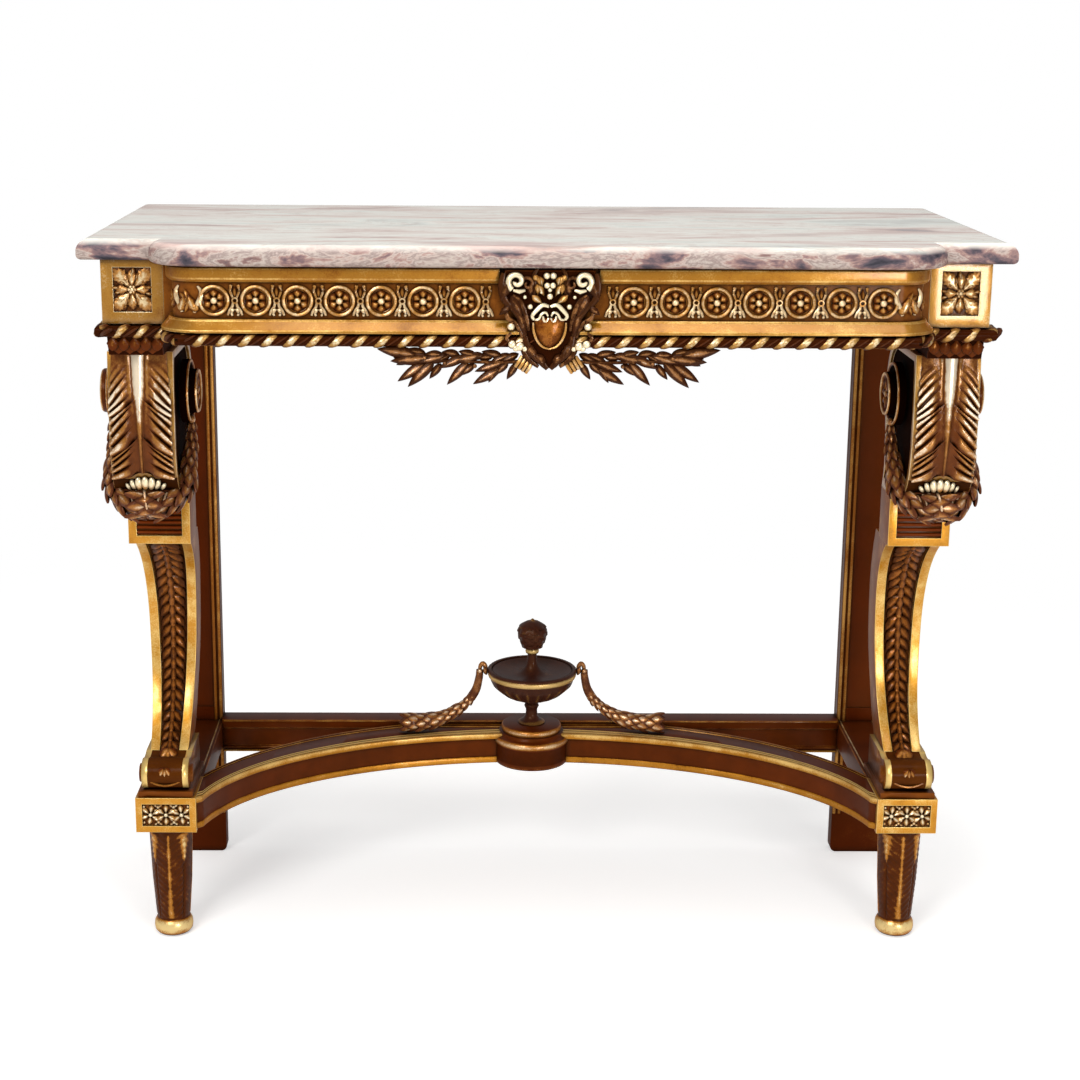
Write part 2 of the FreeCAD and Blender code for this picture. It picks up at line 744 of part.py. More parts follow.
rings, links = [], []
ring_x = num("ring_first")
while ring_x + num("ring_diameter") / 2 < num("field_return") - num("rail_round"):
    rings += [frieze_ring(ring_x), frieze_ring(-ring_x)]
    links += [frieze_link(ring_x - num("ring_pitch") / 2), frieze_link(-ring_x + num("ring_pitch") / 2)]
    ring_x += num("ring_pitch")
keep("frieze_carvings", feature("frieze_carvings", Part.makeCompound(rings + links)))


# -------------------------------------------------------------- cartouche and laurel
# A carved ground in the middle of the frieze carries a plain shield, two volutes and a
# string of beads; two laurel sprays spread from under it.
def cartouche_ground():
    half, low, high = num("cartouche_half_width"), num("rail_bottom"), num("slab_bottom")
    edges = [(half * 0.9, high - 2), (half, num("field_top")), (half * 0.86, num("field_top") - 26),
             (half * 0.58, num("moulding_top")), (half * 0.56, num("rope_top")),
             (half * 0.48, low + 4), (half * 0.36, low - 10), (half * 0.1, low - 22)]
    right = [Vector(x, num("field_main"), z) for x, z in edges]
    left = [Vector(-p.x, p.y, p.z) for p in reversed(right)]
    points = right + left
    ground = Part.Face(Part.makePolygon(points + [points[0]])).extrude(
        Vector(0, -num("cartouche_thickness"), 0))
    return ground


keep("cartouche_ground", feature("cartouche_ground", cartouche_ground()))


def shield():
    half, y = num("shield_half_width"), num("field_main") - num("cartouche_thickness")
    top, low = num("moulding_top") + 2, num("rope_top") - 18
    upper = Part.Arc(Vector(-half, y, top), Vector(0, y, top + 3), Vector(half, y, top)).toShape()
    right = Part.Arc(Vector(half, y, top), Vector(half * 0.86, y, (top + low) / 2),
                     Vector(0, y, low)).toShape()
    left = Part.Arc(Vector(0, y, low), Vector(-half * 0.86, y, (top + low) / 2),
                    Vector(-half, y, top)).toShape()
    body = flat([upper, right, left]).extrude(Vector(0, -num("shield_relief"), 0))
    return body


keep("cartouche_shield", feature("cartouche_shield", shield()))


def volutes():
    y = num("field_main") - num("cartouche_thickness")
    z = num("slab_bottom") - num("volute_diameter") * 0.62
    x = num("cartouche_half_width") * 0.66
    out = []
    for side in (-1, 1):
        base = Part.makeCylinder(num("volute_diameter") / 2, 4, Vector(side * x, y, z), Vector(0, -1, 0))
        eye = Part.makeCylinder(num("volute_diameter") / 4, 7, Vector(side * x, y, z), Vector(0, -1, 0))
        out.append(base.fuse(eye).removeSplitter())
    return Part.makeCompound(out)


keep("cartouche_volutes", feature("cartouche_volutes", volutes()))


def beads():
    y = num("field_main") - num("cartouche_thickness")
    out = []
    for index in range(4):
        r = num("bead_diameter") / 2
        z = num("slab_bottom") - 10 - index * (num("bead_diameter") + 1.2)
        ball = Part.makeSphere(r, Vector(0, y, z)).cut(Part.makeBox(40, 40, 40, Vector(-20, y, z - 20)))
        out.append(ball)
    return Part.makeCompound(out)


keep("cartouche_beads", feature("cartouche_beads", beads()))

# Each spray is one carving: a stem with pointed leaves, glued under the rail and the rope.
SPRAY_LEAVES = ((0.27, 15.5, -19, 0.9), (0.285, 23.0, -30, 0.95), (0.40, 8.0, -12, 0.95),
                (0.474, 15.5, -47, 0.95), (0.49, 9.0, -24, 0.9), (0.60, 8.0, -14, 1.0),
                (0.68, 15.0, -45, 1.1), (0.73, 17.0, -34, 1.0), (0.70, 11.0, -5, 1.2),
                (0.78, 8.0, 9, 1.2))


def spray():
    y = num("field_main") - 2
    reach, top = num("spray_reach"), num("rail_bottom")
    stem = Part.makeBox(reach * 0.68, 8, 7, Vector(12, y - 8, top - 16))
    carving = stem
    for share, below, angle, scale in SPRAY_LEAVES:
        blade = leaf(num("leaf_length") * scale, num("leaf_width"), num("leaf_thickness"),
                     (reach * share, top - below), angle, y - 7)
        carving = carving.fuse(blade)
    hanger = Part.makeBox(reach * 0.5, 6, 12, Vector(20, y - 7, top - 12))
    carving = carving.fuse(hanger)
    above = Part.makeBox(400, 60, 100, Vector(-50, y - 30, top))
    return carving.cut(above).removeSplitter()


spray_shape = spray().cut(cartouche_ground())
pair("laurel_spray", feature("right_laurel_spray", spray_shape))

# -------------------------------------------------------------------------- front legs
# Leafy collar between the corner block and the scroll; the rope runs round its top.
collar = new_body("collar_body")
pad(collar, polygon(collar, "collar_side", "YZ_Plane", (
    ("collar_front", "rope_top"),
    ("collar_front", "rail_bottom"),
    ("collar_front + 8", "head_top"),
    ("head_front + head_depth*0.7", "head_top"),
    ("head_front + head_depth*0.7", "rail_bottom"),
    ("block_back", "rail_bottom"),
    ("block_back", "rope_top"))), "field_side - block_inner - 4")
place(collar, x="block_inner + 4")
pair("leaf_collar", cut("collar_cut", collar, right_holes))


def outward(points):
    """Unit vectors at right angles to a curve in the YZ plane, towards the front."""
    out = []
    for i in range(len(points)):
        run = points[min(i + 1, len(points) - 1)] - points[max(i - 1, 0)]
        out.append(Vector(0, run.z, -run.y).normalize())
    return out


def head_front_points():
    y, top, deep, tall = num("head_front"), num("head_top"), num("head_depth"), num("head_height")
    shares = ((0.0, 0.0), (-0.02, 0.2), (-0.03, 0.42), (-0.025, 0.6), (0.01, 0.74), (0.08, 0.85),
              (0.19, 0.92), (0.32, 0.94))
    return [Vector(0, y + a * deep, top - b * tall) for a, b in shares]


def head_profile(inset=0.0):
    """Side outline of the scroll head, or the same outline drawn in by a rim."""
    y, top, deep, low = num("head_front"), num("head_top"), num("head_depth"), num("head_bottom")
    ahead = head_front_points()
    if inset:
        ahead = [p - n * inset for p, n in zip(ahead, outward(ahead))][:7]
        ahead[0].z = top - inset
    knee = Vector(0, num("panel_front") + inset * 0.4, low + inset * 1.4)
    back = [Vector(0, num("panel_back") - inset, knee.z), Vector(0, y + deep * 0.93 - inset, low + 60),
            Vector(0, y + deep - inset, num("eye_z") - 8), Vector(0, y + deep * 0.94 - inset, top - 26),
            Vector(0, y + deep * 0.72 - inset * 0.4, top - inset)]
    return flat([curve(ahead), line(ahead[-1], knee), line(knee, back[0]), curve(back),
                 line(back[-1], ahead[0])])


def scroll_head():
    half = num("head_width") / 2
    x = num("leg_centre")
    head = head_profile()
    head.translate(Vector(x - half, 0, 0))
    head = head.extrude(Vector(2 * half, 0, 0))
    for start in (x - half, x + half - num("head_recess")):
        sunk = head_profile(num("head_rim"))
        sunk.translate(Vector(start, 0, 0))
        head = head.cut(sunk.extrude(Vector(num("head_recess"), 0, 0)))
    return head


head_shape = scroll_head()
head_feature = feature("scroll_head_blank", head_shape)
pair("scroll_head", cut("scroll_head_cut", head_feature, right_holes))


# The acanthus leaf is laid on the front of the scroll from the collar to the curl.
def front_band(points, thickness, x_low, x_high):
    ahead = curve(points)
    outer = curve([p + n * thickness for p, n in zip(points, outward(points))])
    first, last = ahead.Vertexes[0].Point, ahead.Vertexes[-1].Point
    outer_first, outer_last = outer.Vertexes[0].Point, outer.Vertexes[-1].Point
    face = flat([ahead, line(last, outer_last), outer, line(outer_first, first)])
    face.translate(Vector(x_low, 0, 0))
    return face.extrude(Vector(x_high - x_low, 0, 0))


leaf_half = num("head_width") / 2 - 3
leaf_foot = head_front_points()[5].z + 14
acanthus = front_band(head_front_points(), num("acanthus_thickness"),
                      num("leg_centre") - leaf_half, num("leg_centre") + leaf_half)
acanthus = acanthus.common(Part.makeBox(300, 400, num("head_top") - leaf_foot,
                                        Vector(num("leg_centre") - 150, -300, leaf_foot)))
pair("acanthus_leaf", feature("right_acanthus_leaf", acanthus))


# A small shell of five lobes closes the curl under each leaf.
def shell():
    tip = head_front_points()[5]
    x = num("leg_centre")
    lobes = None
    for offset, radius in ((-20, 6), (-11, 7), (0, 8), (11, 7), (20, 6)):
        lobe = Part.makeSphere(radius, Vector(x + offset, tip.y - 1, tip.z + 5 - abs(offset) * 0.1))
        lobes = lobe if lobes is None else lobes.fuse(lobe)
    return lobes.cut(head_shape).cut(acanthus)


shell_shape = max(shell().Solids, key=lambda s: s.Volume)
keep("scroll_shells", feature("scroll_shells", both_halves(shell_shape)))


# Stepped round bosses stand on both sides of each scroll, where the garland hangs.
def eye(side):
    x = num("leg_centre") + side * (num("head_width") / 2 - num("head_recess"))
    at = Vector(x, num("eye_y"), num("eye_z"))
    way = Vector(side, 0, 0)
    base = Part.makeCylinder(num("eye_base_diameter") / 2, num("eye_base_proud") + num("head_recess"), at, way)
    top = Part.makeCylinder(num("eye_diameter") / 2, num("eye_proud") + num("head_recess"), at, way)
    return base.fuse(top).removeSplitter()


eyes = [eye(-1), eye(1)]
keep("scroll_eyes", feature("scroll_eyes", both_halves(Part.makeCompound(eyes))))


# A laurel garland hangs from the bosses and loops under the curl of the scroll.
def leg_garland():
    x, y, z = num("leg_centre"), num("eye_y"), num("eye_z")
    side = num("head_width") / 2
    low = num("head_bottom")
    hang = z - num("eye_base_diameter") / 2 - num("seat_gap")
    half = [(side + 9, y - 2, hang, 7), (side + 9, y - 6, hang - 22, 9), (side + 8, y - 20, low + 52, 11.8),
            (side + 4, y - 40, low + 26, 15), (side * 0.56, y - 58, low + 9, 16.5)]
    points = [Vector(x - a, b, c) for a, b, c, r in half]
    points += [Vector(x, y - 64, low + 8)]
    points += [Vector(x + a, b, c) for a, b, c, r in reversed(half)]
    radii = [h[3] for h in half]
    return swag(points, radii + [16.5] + radii[::-1])


head_room = Part.makeBox(num("head_width") + 2 * num("seat_gap"), 200, 100,
                         Vector(num("leg_centre") - num("head_width") / 2 - num("seat_gap"),
                                head_front_points()[5].y, head_front_points()[-1].z - num("seat_gap")))
garland = max(leg_garland().cut(head_room).Solids, key=lambda s: s.Volume)
pair("leg_garland", feature("right_leg_garland", garland))


# The leg: a square panel block, then a tapering, backward-curving shaft with raised
# edges and a sunk front. It stands on the foot scroll.
def leg_front_points():
    low, high = num("scroll_top"), num("panel_bottom")
    tall, sweep = high - low, num("leg_sweep")
    y = num("panel_front") + 9
    shares = ((0.0, 0.11), (0.05, 0.36), (0.15, 0.68), (0.34, 0.92), (0.46, 0.95), (0.58, 0.92),
              (0.78, 0.73), (0.92, 0.42), (1.0, 0.14))
    points = [Vector(0, y + b * sweep, high - a * tall) for a, b in shares]
    return points


def leg_half_widths():
    low, high = num("scroll_top"), num("panel_bottom")
    tall = high - low
    top, waist, ankle = num("block_width") / 2 - 0.5, num("leg_waist") / 2, num("leg_ankle") / 2
    shares = ((0.0, top), (0.14, (top + waist) / 2 + 0.8), (0.38, waist + 0.3), (0.55, waist - 1),
              (0.72, (waist + ankle) / 2 + 0.3), (0.86, ankle + 1.8), (1.0, ankle))
    return [(high - a * tall, half) for a, half in shares]


def front_outline(shrink):
    """Front outline of the shaft, for cutting its side curves or its sunk panel."""
    x = num("leg_centre")
    right = [Vector(x + half - shrink, -400, z) for z, half in leg_half_widths()]
    left = [Vector(2 * x - p.x, p.y, p.z) for p in right]
    edges = [curve(right), line(right[-1], left[-1]), curve(left), line(left[0], right[0])]
    return flat(edges).extrude(Vector(0, 900, 0))


def shaft(setback, thickness):
    """A slice of the shaft that starts at a depth behind its front curve."""
    front_points = leg_front_points()
    near = [p - n * setback for p, n in zip(front_points, outward(front_points))]
    far = [p - n * (setback + thickness) for p, n in zip(front_points, outward(front_points))]
    far[0].z, far[-1].z = front_points[0].z, front_points[-1].z
    near[0].z, near[-1].z = front_points[0].z, front_points[-1].z
    face = flat([curve(near), line(near[-1], far[-1]), curve(far), line(far[0], near[0])])
    face.translate(Vector(num("leg_centre") - 60, 0, 0))
    return face.extrude(Vector(120, 0, 0))


def leg():
    x, half = num("leg_centre"), num("head_width") / 2
    body = shaft(0, num("leg_depth")).common(front_outline(0))
    sunk = shaft(-6, 6 + num("leg_recess")).common(front_outline(num("leg_fillet")))
    body = body.cut(sunk)
    head = Part.makeBox(2 * half, num("panel_block_depth"), num("panel_block_height"),
                        Vector(x - half, num("panel_front"), num("panel_bottom")))
    border = num("leg_fillet") - 1.5
    panel = Part.makeBox(2 * half - 2 * border, 3, num("panel_block_height") - border,
                         Vector(x - half + border, num("panel_front"), num("panel_bottom") + border))
    return body.fuse(head.cut(panel)).removeSplitter()


leg_feature = feature("leg_blank", leg())
pair("leg", cut("leg_cut", leg_feature, right_holes))


# A chain of husks lies in the sunk front of each shaft.
def husks():
    low, high = num("scroll_top") + 6, num("panel_bottom") - 6
    strip = shaft(num("leg_recess") - 3.2, 3.2).common(front_outline(num("leg_fillet") + 3))
    keep_box = Part.makeBox(200, 600, high - low, Vector(num("leg_centre") - 100, -300, low))
    return strip.common(keep_box)


keep("husk_chains", feature("husk_chains", both_halves(husks())))


# The foot of each leg rolls forward into a small scroll on a thin plate.
def foot_scroll():
    x, half = num("leg_centre"), num("foot_scroll_width") / 2
    low, top = num("scroll_bottom"), num("scroll_top")
    radius = (top - low) / 2
    front_y = num("plinth_front")
    back_y = leg_foot_back()
    lip = leg_front_points()[-1].y
    centre_y = front_y + radius
    nose = Part.Arc(Vector(0, centre_y, top), Vector(0, front_y, low + radius),
                    Vector(0, centre_y, low)).toShape()
    dip = Part.Arc(Vector(0, lip, top), Vector(0, (lip + centre_y) / 2, top - 3),
                   Vector(0, centre_y, top)).toShape()
    face = flat([nose, line(Vector(0, centre_y, low), Vector(0, back_y, low)),
                 line(Vector(0, back_y, low), Vector(0, back_y, top)),
                 line(Vector(0, back_y, top), Vector(0, lip, top)), dip])
    face.translate(Vector(x - half, 0, 0))
    roll = face.extrude(Vector(2 * half, 0, 0))
    plate_half = half + 5
    plate = Part.makeBox(2 * plate_half, back_y - front_y - 3, num("scroll_plate"),
                         Vector(x - plate_half, front_y + 3, low - num("scroll_plate")))
    eye = Part.makeCylinder(radius * 0.6, 2 * half + 8, Vector(x - half - 4, centre_y, low + radius),
                            Vector(1, 0, 0))
    return roll.fuse([plate, eye]).removeSplitter()


def leg_foot_back():
    """Back of the shaft's sole, taken 1 mm above the scroll that it stands on."""
    sole = shaft(0, num("leg_depth")).common(
        Part.makeBox(400, 800, 1, Vector(num("leg_centre") - 200, -400, num("scroll_top"))))
    return sole.BoundBox.YMax


scroll_feature = feature("foot_scroll_blank", foot_scroll())
pair("foot_scroll", cut("foot_scroll_cut", scroll_feature, right_holes))

# Plinth block over each turned foot, with sunk panels on the front and the outer side.
plinth = new_body("plinth_body")
pad(plinth, polygon(plinth, "plinth_plan", "XY_Plane", (
    ("plinth_inner", "plinth_front"),
    ("plinth_inner + plinth_width", "plinth_front"),
    ("plinth_inner + plinth_width", "plinth_back"),
    ("plinth_inner", "plinth_back"))), "plinth_height")
place(plinth, z="foot_height")
plinth_sunk = block("plinth_panel_front",
                    ("plinth_width - 2*plinth_border", "block_panel_depth + 1",
                     "plinth_height - 2*plinth_border"),
                    ("plinth_inner + plinth_border", "plinth_front - 1", "foot_height + plinth_border"))
plinth_side = block("plinth_panel_side",
                    ("block_panel_depth + 1", "plinth_depth - 2*plinth_border",
                     "plinth_height - 2*plinth_border"),
                    ("plinth_inner + plinth_width - block_panel_depth", "plinth_front + plinth_border",
                     "foot_height + plinth_border"))
plinth_tools = group("plinth_tools", [plinth_sunk, plinth_side, right_holes])
pair("plinth_block", cut("plinth_cut", plinth, plinth_tools))


def plinth_carving(width, at, turn):
    tall = num("plinth_height") - 2 * num("plinth_border") - 2 * num("seat_gap")
    deep = num("block_panel_depth")
    half = width / 2 - num("seat_gap")
    ground = Part.makeBox(2 * half, deep - 1, tall, Vector(-half, -deep + 1, -tall / 2))
    for share in (-0.62, 0.0, 0.62):
        for angle in range(0, 360, 90):
            petal = leaf(tall * 0.48, tall * 0.3, deep + 1.5, (share * half, 0), angle + 45, -deep - 1.5)
            ground = ground.fuse(petal.common(
                Part.makeBox(2 * half, 20, tall, Vector(-half, -18, -tall / 2))))
    ground = ground.removeSplitter()
    ground.rotate(Vector(), Vector(0, 0, 1), turn)
    ground.translate(at)
    return ground


plinth_z = num("foot_height") + num("plinth_height") / 2
carvings = Part.makeCompound([
    plinth_carving(num("plinth_width") - 2 * num("plinth_border"),
                   Vector(num("leg_centre"), num("plinth_front") + num("block_panel_depth"), plinth_z), 0),
    plinth_carving(num("plinth_depth") - 2 * num("plinth_border"),
                   Vector(num("plinth_inner") + num("plinth_width") - num("block_panel_depth"),
                          (num("plinth_front") + num("plinth_back")) / 2, plinth_z), 90)])
keep("plinth_carvings", feature("plinth_carvings", both_halves(carvings)))


# Turned, tapering foot with a ring at the floor.
def turned_foot():
    top, tall = num("foot_top_diameter") / 2, num("foot_height")
    ankle, ring, ring_high = num("foot_ankle_diameter") / 2, num("foot_ring_diameter") / 2, num("foot_ring_height")
    profile = [(0, tall), (top, tall), None, (top, tall - 5), None, (top - 2.5, tall - 7), None,
               (top - 1.5, tall - 14), ((top + ankle) / 2, tall * 0.5), (ankle, ring_high + 3), None,
               (ring - 2, ring_high), (ring, ring_high * 0.5), (ring - 4, 1.5), (ring - 7, 0), None, (0, 0)]
    return turned(profile, (num("plinth_front") + num("plinth_back")) / 2, num("leg_centre"))


foot_feature = feature("turned_foot_blank", turned_foot())
pair("turned_foot", cut("turned_foot_cut", foot_feature, right_holes))

# ------------------------------------------------------------ back posts and stretchers
# Flat posts stand against the wall from the floor to the slab, with a sunk panel in front.
post = new_body("post_body")
pad(post, polygon(post, "post_front_view", "XZ_Plane", (
    ("plinth_inner", "0"),
    ("plinth_inner + post_width", "0"),
    ("plinth_inner + post_width", "slab_bottom"),
    ("plinth_inner", "slab_bottom"))), "post_thickness", flip=True)
place(post, y="post_front")


def toe(edge):
    a, b = edge.Vertexes[0].Point, edge.Vertexes[-1].Point
    return (abs(a.z) < 0.01 and abs(b.z) < 0.01 and abs(a.x - b.x) < 0.01
            and abs(a.x - num("plinth_inner")) < 0.05)


dress(post, "Fillet", "post_toe", "post_toe_round", toe)
post_panel = block("post_panel",
                   ("post_width - 2*post_border", "post_recess + 1",
                    "rail_bottom - plinth_top - post_border*3"),
                   ("plinth_inner + post_border", "post_front - 1", "plinth_top + post_border*1.5"))
post_tools = group("post_tools", [post_panel, right_holes])
pair("back_post", cut("post_cut", post, post_tools))

# Straight stretcher between the back posts.
back_bar = new_body("back_stretcher_body")
pad(back_bar, polygon(back_bar, "back_stretcher_section", "YZ_Plane", (
    ("back_stretcher_front + 3", "stretcher_bottom"),
    ("back_stretcher_front + back_stretcher_depth", "stretcher_bottom"),
    ("back_stretcher_front + back_stretcher_depth", "plinth_top + back_stretcher_rise"),
    ("back_stretcher_front", "plinth_top + back_stretcher_rise"),
    ("back_stretcher_front", "plinth_top + back_stretcher_rise - 12"),
    ("back_stretcher_front + 5", "plinth_top + back_stretcher_rise - 15"),
    ("back_stretcher_front + 5", "stretcher_bottom + arm_fillet_height"),
    ("back_stretcher_front + 3", "stretcher_bottom + arm_fillet_height - 2"))), "2*plinth_inner")
place(back_bar, x="-plinth_inner")
post_notch = block("post_notch",
                   ("post_width", "post_thickness", "slab_bottom"),
                   ("plinth_inner", "post_front", "0"))
back_stretcher = cut("back_stretcher_cut", back_bar, all_holes)
keep("back_stretcher", back_stretcher)

# Side stretcher between the plinth block and the back post.
side_bar = new_body("side_stretcher_body")
pad(side_bar, polygon(side_bar, "side_stretcher_section", "XZ_Plane", (
    ("plinth_inner + 6", "stretcher_bottom"),
    ("plinth_inner + stretcher_width", "stretcher_bottom"),
    ("plinth_inner + stretcher_width + 6", "stretcher_bottom + arm_fillet_height"),
    ("plinth_inner + stretcher_width + 6", "plinth_top"),
    ("plinth_inner", "plinth_top"),
    ("plinth_inner", "stretcher_bottom + arm_fillet_height"))), "post_front - plinth_back", flip=True)
place(side_bar, y="plinth_back")
pair("side_stretcher", cut("side_stretcher_cut", side_bar, right_holes))


# The front stretcher is two bowed arms: each runs from a plinth block in a quarter
# ellipse to the boss, flat on top, with a raised fillet above and below a set-back face.
def ellipse_band(inset):
    """Plan of one arm between its front and back ellipses, with the front set back."""
    reach, bow = num("arm_reach") + inset, num("arm_bow") + inset
    far_reach = num("arm_reach") + num("arm_width_side")
    far_bow = num("arm_bow") + num("arm_width_middle")
    centre = Vector(0, num("back_stretcher_front") - num("arm_bow") - 42, 0)
    outer = Part.Face(Part.Wire(Part.Ellipse(centre, far_reach, far_bow).toShape()))
    inner = Part.Face(Part.Wire(Part.Ellipse(centre, reach, bow).toShape()))
    return outer.cut(inner)


def arm_layer(inset, low, high):
    layer = ellipse_band(inset).extrude(Vector(0, 0, high - low))
    layer.translate(Vector(0, 0, low))
    return layer


def arm():
    low, high, fillet = num("stretcher_bottom"), num("plinth_top"), num("arm_fillet_height")
    setback = num("arm_face_setback")
    body = arm_layer(0, high - fillet, high)
    body = body.fuse(arm_layer(setback, low + fillet, high - fillet))
    body = body.fuse(arm_layer(setback * 0.6, low, low + fillet))
    room = Part.makeBox(num("plinth_inner"), num("back_stretcher_front") - num("plinth_front") - 2,
                        high - low, Vector(0, num("plinth_front") + 2, low))
    return body.common(room).cut(boss()).removeSplitter()


# ------------------------------------------------------------------------ boss and urn
# The drum is glued to the front of the back stretcher, between the arms; its moulded cap
# stands over the back stretcher and carries the urn.
def boss():
    r, cap, y = num("boss_diameter") / 2, num("boss_top_diameter") / 2, num("boss_axis")
    low, high, deck = num("stretcher_bottom"), num("boss_top"), num("plinth_top")
    profile = [(0, low), (r - 1.5, low), None, (r, low + 3), None, (r, deck - 14), None,
               (r + 1, deck - 10), (r, deck - 6), None, (r - 4, deck - 4), None,
               (r - 7, deck + 1), (cap, high - 9), None, (cap + 1, high - 6), (cap, high - 2), None,
               (cap - 4, high), None, (0, high)]
    body = turned(profile, y)
    back = Part.makeBox(300, 300, deck + num("back_stretcher_rise") - low,
                        Vector(-150, num("back_stretcher_front"), low))
    return body.cut(back).cut(Part.makeBox(300, 60, 60, Vector(-150, num("back_plane"), low)))


arm_feature = feature("arm_blank", arm())
pair("stretcher_arm", cut("arm_cut", arm_feature, right_holes))
boss_feature = feature("boss_blank", boss())
urn_pin = rod("urn_dowel", "dowel_diameter/2", "dowel_length*0.7",
              ("0", "boss_axis", "boss_top - dowel_length*0.35"))
urn_hole = rod("urn_dowel_hole", "dowel_diameter/2 + dowel_clearance", "dowel_length*0.7 + 2*dowel_clearance",
               ("0", "boss_axis", "boss_top - dowel_length*0.35 - dowel_clearance"))
keep("stretcher_boss", cut("boss_cut", boss_feature, urn_hole))
keep("joint_dowels", group("joint_dowels", [right_dowels, left_dowels, urn_pin]))


def bowl():
    r, y = num("urn_diameter") / 2, num("boss_axis")
    base, low, rim, seat = num("boss_top"), num("bowl_bottom"), num("rim_top"), num("lid_seat")
    profile = [(0, base), (19, base), None, (18, base + 2), (11, base + 6), (8, base + 13),
               (8.5, low - 6), (12, low - 1), None, (22, low), (r * 0.62, low + 8), (r * 0.88, low + 22),
               (r - 1.5, rim - 11), None, (r, rim - 8), (r + 0.5, rim - 5), (r, rim - 1), None,
               (r - num("urn_wall"), rim), None, (r - num("urn_wall"), seat), None, (0, seat)]
    return turned(profile, y)


keep("urn_bowl", cut("bowl_cut", feature("bowl_blank", bowl()), urn_hole))


def lid():
    r, y = num("urn_diameter") / 2 - num("urn_wall") - num("seat_gap"), num("boss_axis")
    seat, top = num("lid_seat"), num("neck_top")
    profile = [(0, seat), (r, seat), None, (r, seat + 8), None, (r * 0.8, seat + 6), (r * 0.5, seat + 4),
               (r * 0.3, seat + 6), (11, seat + 11), (7, seat + 20), (6.2, top), None, (0, top)]
    return turned(profile, y)


keep("urn_lid", feature("urn_lid", lid()))


def finial():
    r, y, low = num("finial_diameter") / 2, num("boss_axis"), num("neck_top")
    tall = num("finial_height")
    profile = [(0, low), (8.8, low), None, (9.3, low + 3), (8.8, low + 7), None, (14.6, low + 8.6), (15.4, low + 12.5),
               (r * 0.90, low + tall * 0.40), (r, low + tall * 0.62), (r * 0.84, low + tall * 0.81),
               (r * 0.42, low + tall * 0.92), None, (3, low + tall * 0.94), (1.6, low + tall), None, (0, low + tall)]
    return turned(profile, y)


keep("urn_finial", feature("urn_finial", finial()))


def handle():
    """A small hook of round section on the rim of the bowl."""
    x, y, z, r = num("urn_diameter") / 2, num("boss_axis"), num("rim_top"), num("handle_wire") / 2
    x += r + 0.5 + num("seat_gap")
    points = [Vector(x, y, z - 9), Vector(x, y, z - 2), Vector(x + 1, y, z + 4), Vector(x + 4, y, z + 7),
              Vector(x + 7.2, y, z + 3.5), Vector(x + 8.2, y, z - 2)]
    return swag(points, [r * 0.9, r, r, r * 1.1, r * 1.1, r])


keep("urn_handles", feature("urn_handles", both_halves(handle())))


def urn_garland():
    """A garland that falls from the handle and lies along the top of the arm."""
    x, y, z = num("urn_diameter") / 2, num("boss_axis"), num("rim_top")
    r, floor, reach = num("swag_diameter") / 2, num("plinth_top") + num("seat_gap"), num("swag_reach")
    points = [Vector(x + 11.7, y, z - 2 - num("seat_gap")), Vector(x + 12.5, y, z - 14), Vector(x + 18, y, z - 34),
              Vector(x + 33, y, floor + r + 22), Vector(x + 60, y - 4, floor + r + 6),
              Vector(reach * 0.86, y - 10, floor + r), Vector(reach, y - 12, floor + r)]
    return swag(points, [r * 0.34, r * 0.38, r * 0.46, r * 0.6, r * 0.8, r * 0.97, r])


pair("urn_garland", feature("right_urn_garland", urn_garland()))

# ------------------------------------------------------------------------------ output
doc.recompute()
for obj in doc.Objects:
    if "Invalid" in obj.State or "Error" in obj.State:
        raise RuntimeError("%s (%s) failed: %s" % (obj.Name, obj.Label, obj.State))
os.makedirs("parts", exist_ok=True)
for obj in PARTS:
    shape = obj.Shape
    if shape.isNull() or not shape.isValid() or not shape.Solids:
        raise RuntimeError(obj.Label + " has no valid solid")
for obj in PARTS:
    obj.Shape.exportStep("parts/%s.step" % obj.Label)
    print("%-24s %3d solid(s) %12.0f mm3" % (obj.Label, len(obj.Shape.Solids), obj.Shape.Volume))
print(len(PARTS), "nodes")
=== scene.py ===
import bpy, bmesh, math
import numpy as np
from mathutils import Matrix, Vector
from mathutils.bvhtree import BVHTree


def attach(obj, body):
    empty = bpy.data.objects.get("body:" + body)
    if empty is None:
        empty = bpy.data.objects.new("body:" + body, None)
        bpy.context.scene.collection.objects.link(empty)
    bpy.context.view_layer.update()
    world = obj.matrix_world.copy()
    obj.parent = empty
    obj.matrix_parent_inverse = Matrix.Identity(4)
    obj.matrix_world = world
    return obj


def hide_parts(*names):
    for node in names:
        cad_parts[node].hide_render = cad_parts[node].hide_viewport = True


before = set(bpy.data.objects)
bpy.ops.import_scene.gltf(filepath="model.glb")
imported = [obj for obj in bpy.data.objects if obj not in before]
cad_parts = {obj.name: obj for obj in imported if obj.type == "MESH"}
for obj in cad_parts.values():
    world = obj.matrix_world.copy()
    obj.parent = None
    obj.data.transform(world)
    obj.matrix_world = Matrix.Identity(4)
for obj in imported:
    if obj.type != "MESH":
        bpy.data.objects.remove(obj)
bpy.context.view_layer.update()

# ------------------------------------------------------------------------ viewpoint
# A standing viewer two and a half metres in front of the table and a little to its
# left, with a 67 mm lens. The eye is at 1.17 m and looks down on the slab.
eye = Vector((-0.09175, -2.49104, 1.17449))
yaw, pitch, roll = -0.0123, 0.24237, 0.0064559
across = Vector((math.cos(yaw), math.sin(yaw), 0))
level_way = Vector((-math.sin(yaw), math.cos(yaw), 0))
ahead = level_way * math.cos(pitch) - Vector((0, 0, math.sin(pitch)))
upward = level_way * math.sin(pitch) + Vector((0, 0, math.cos(pitch)))
right = across * math.cos(roll) + upward * math.sin(roll)
top = upward * math.cos(roll) - across * math.sin(roll)
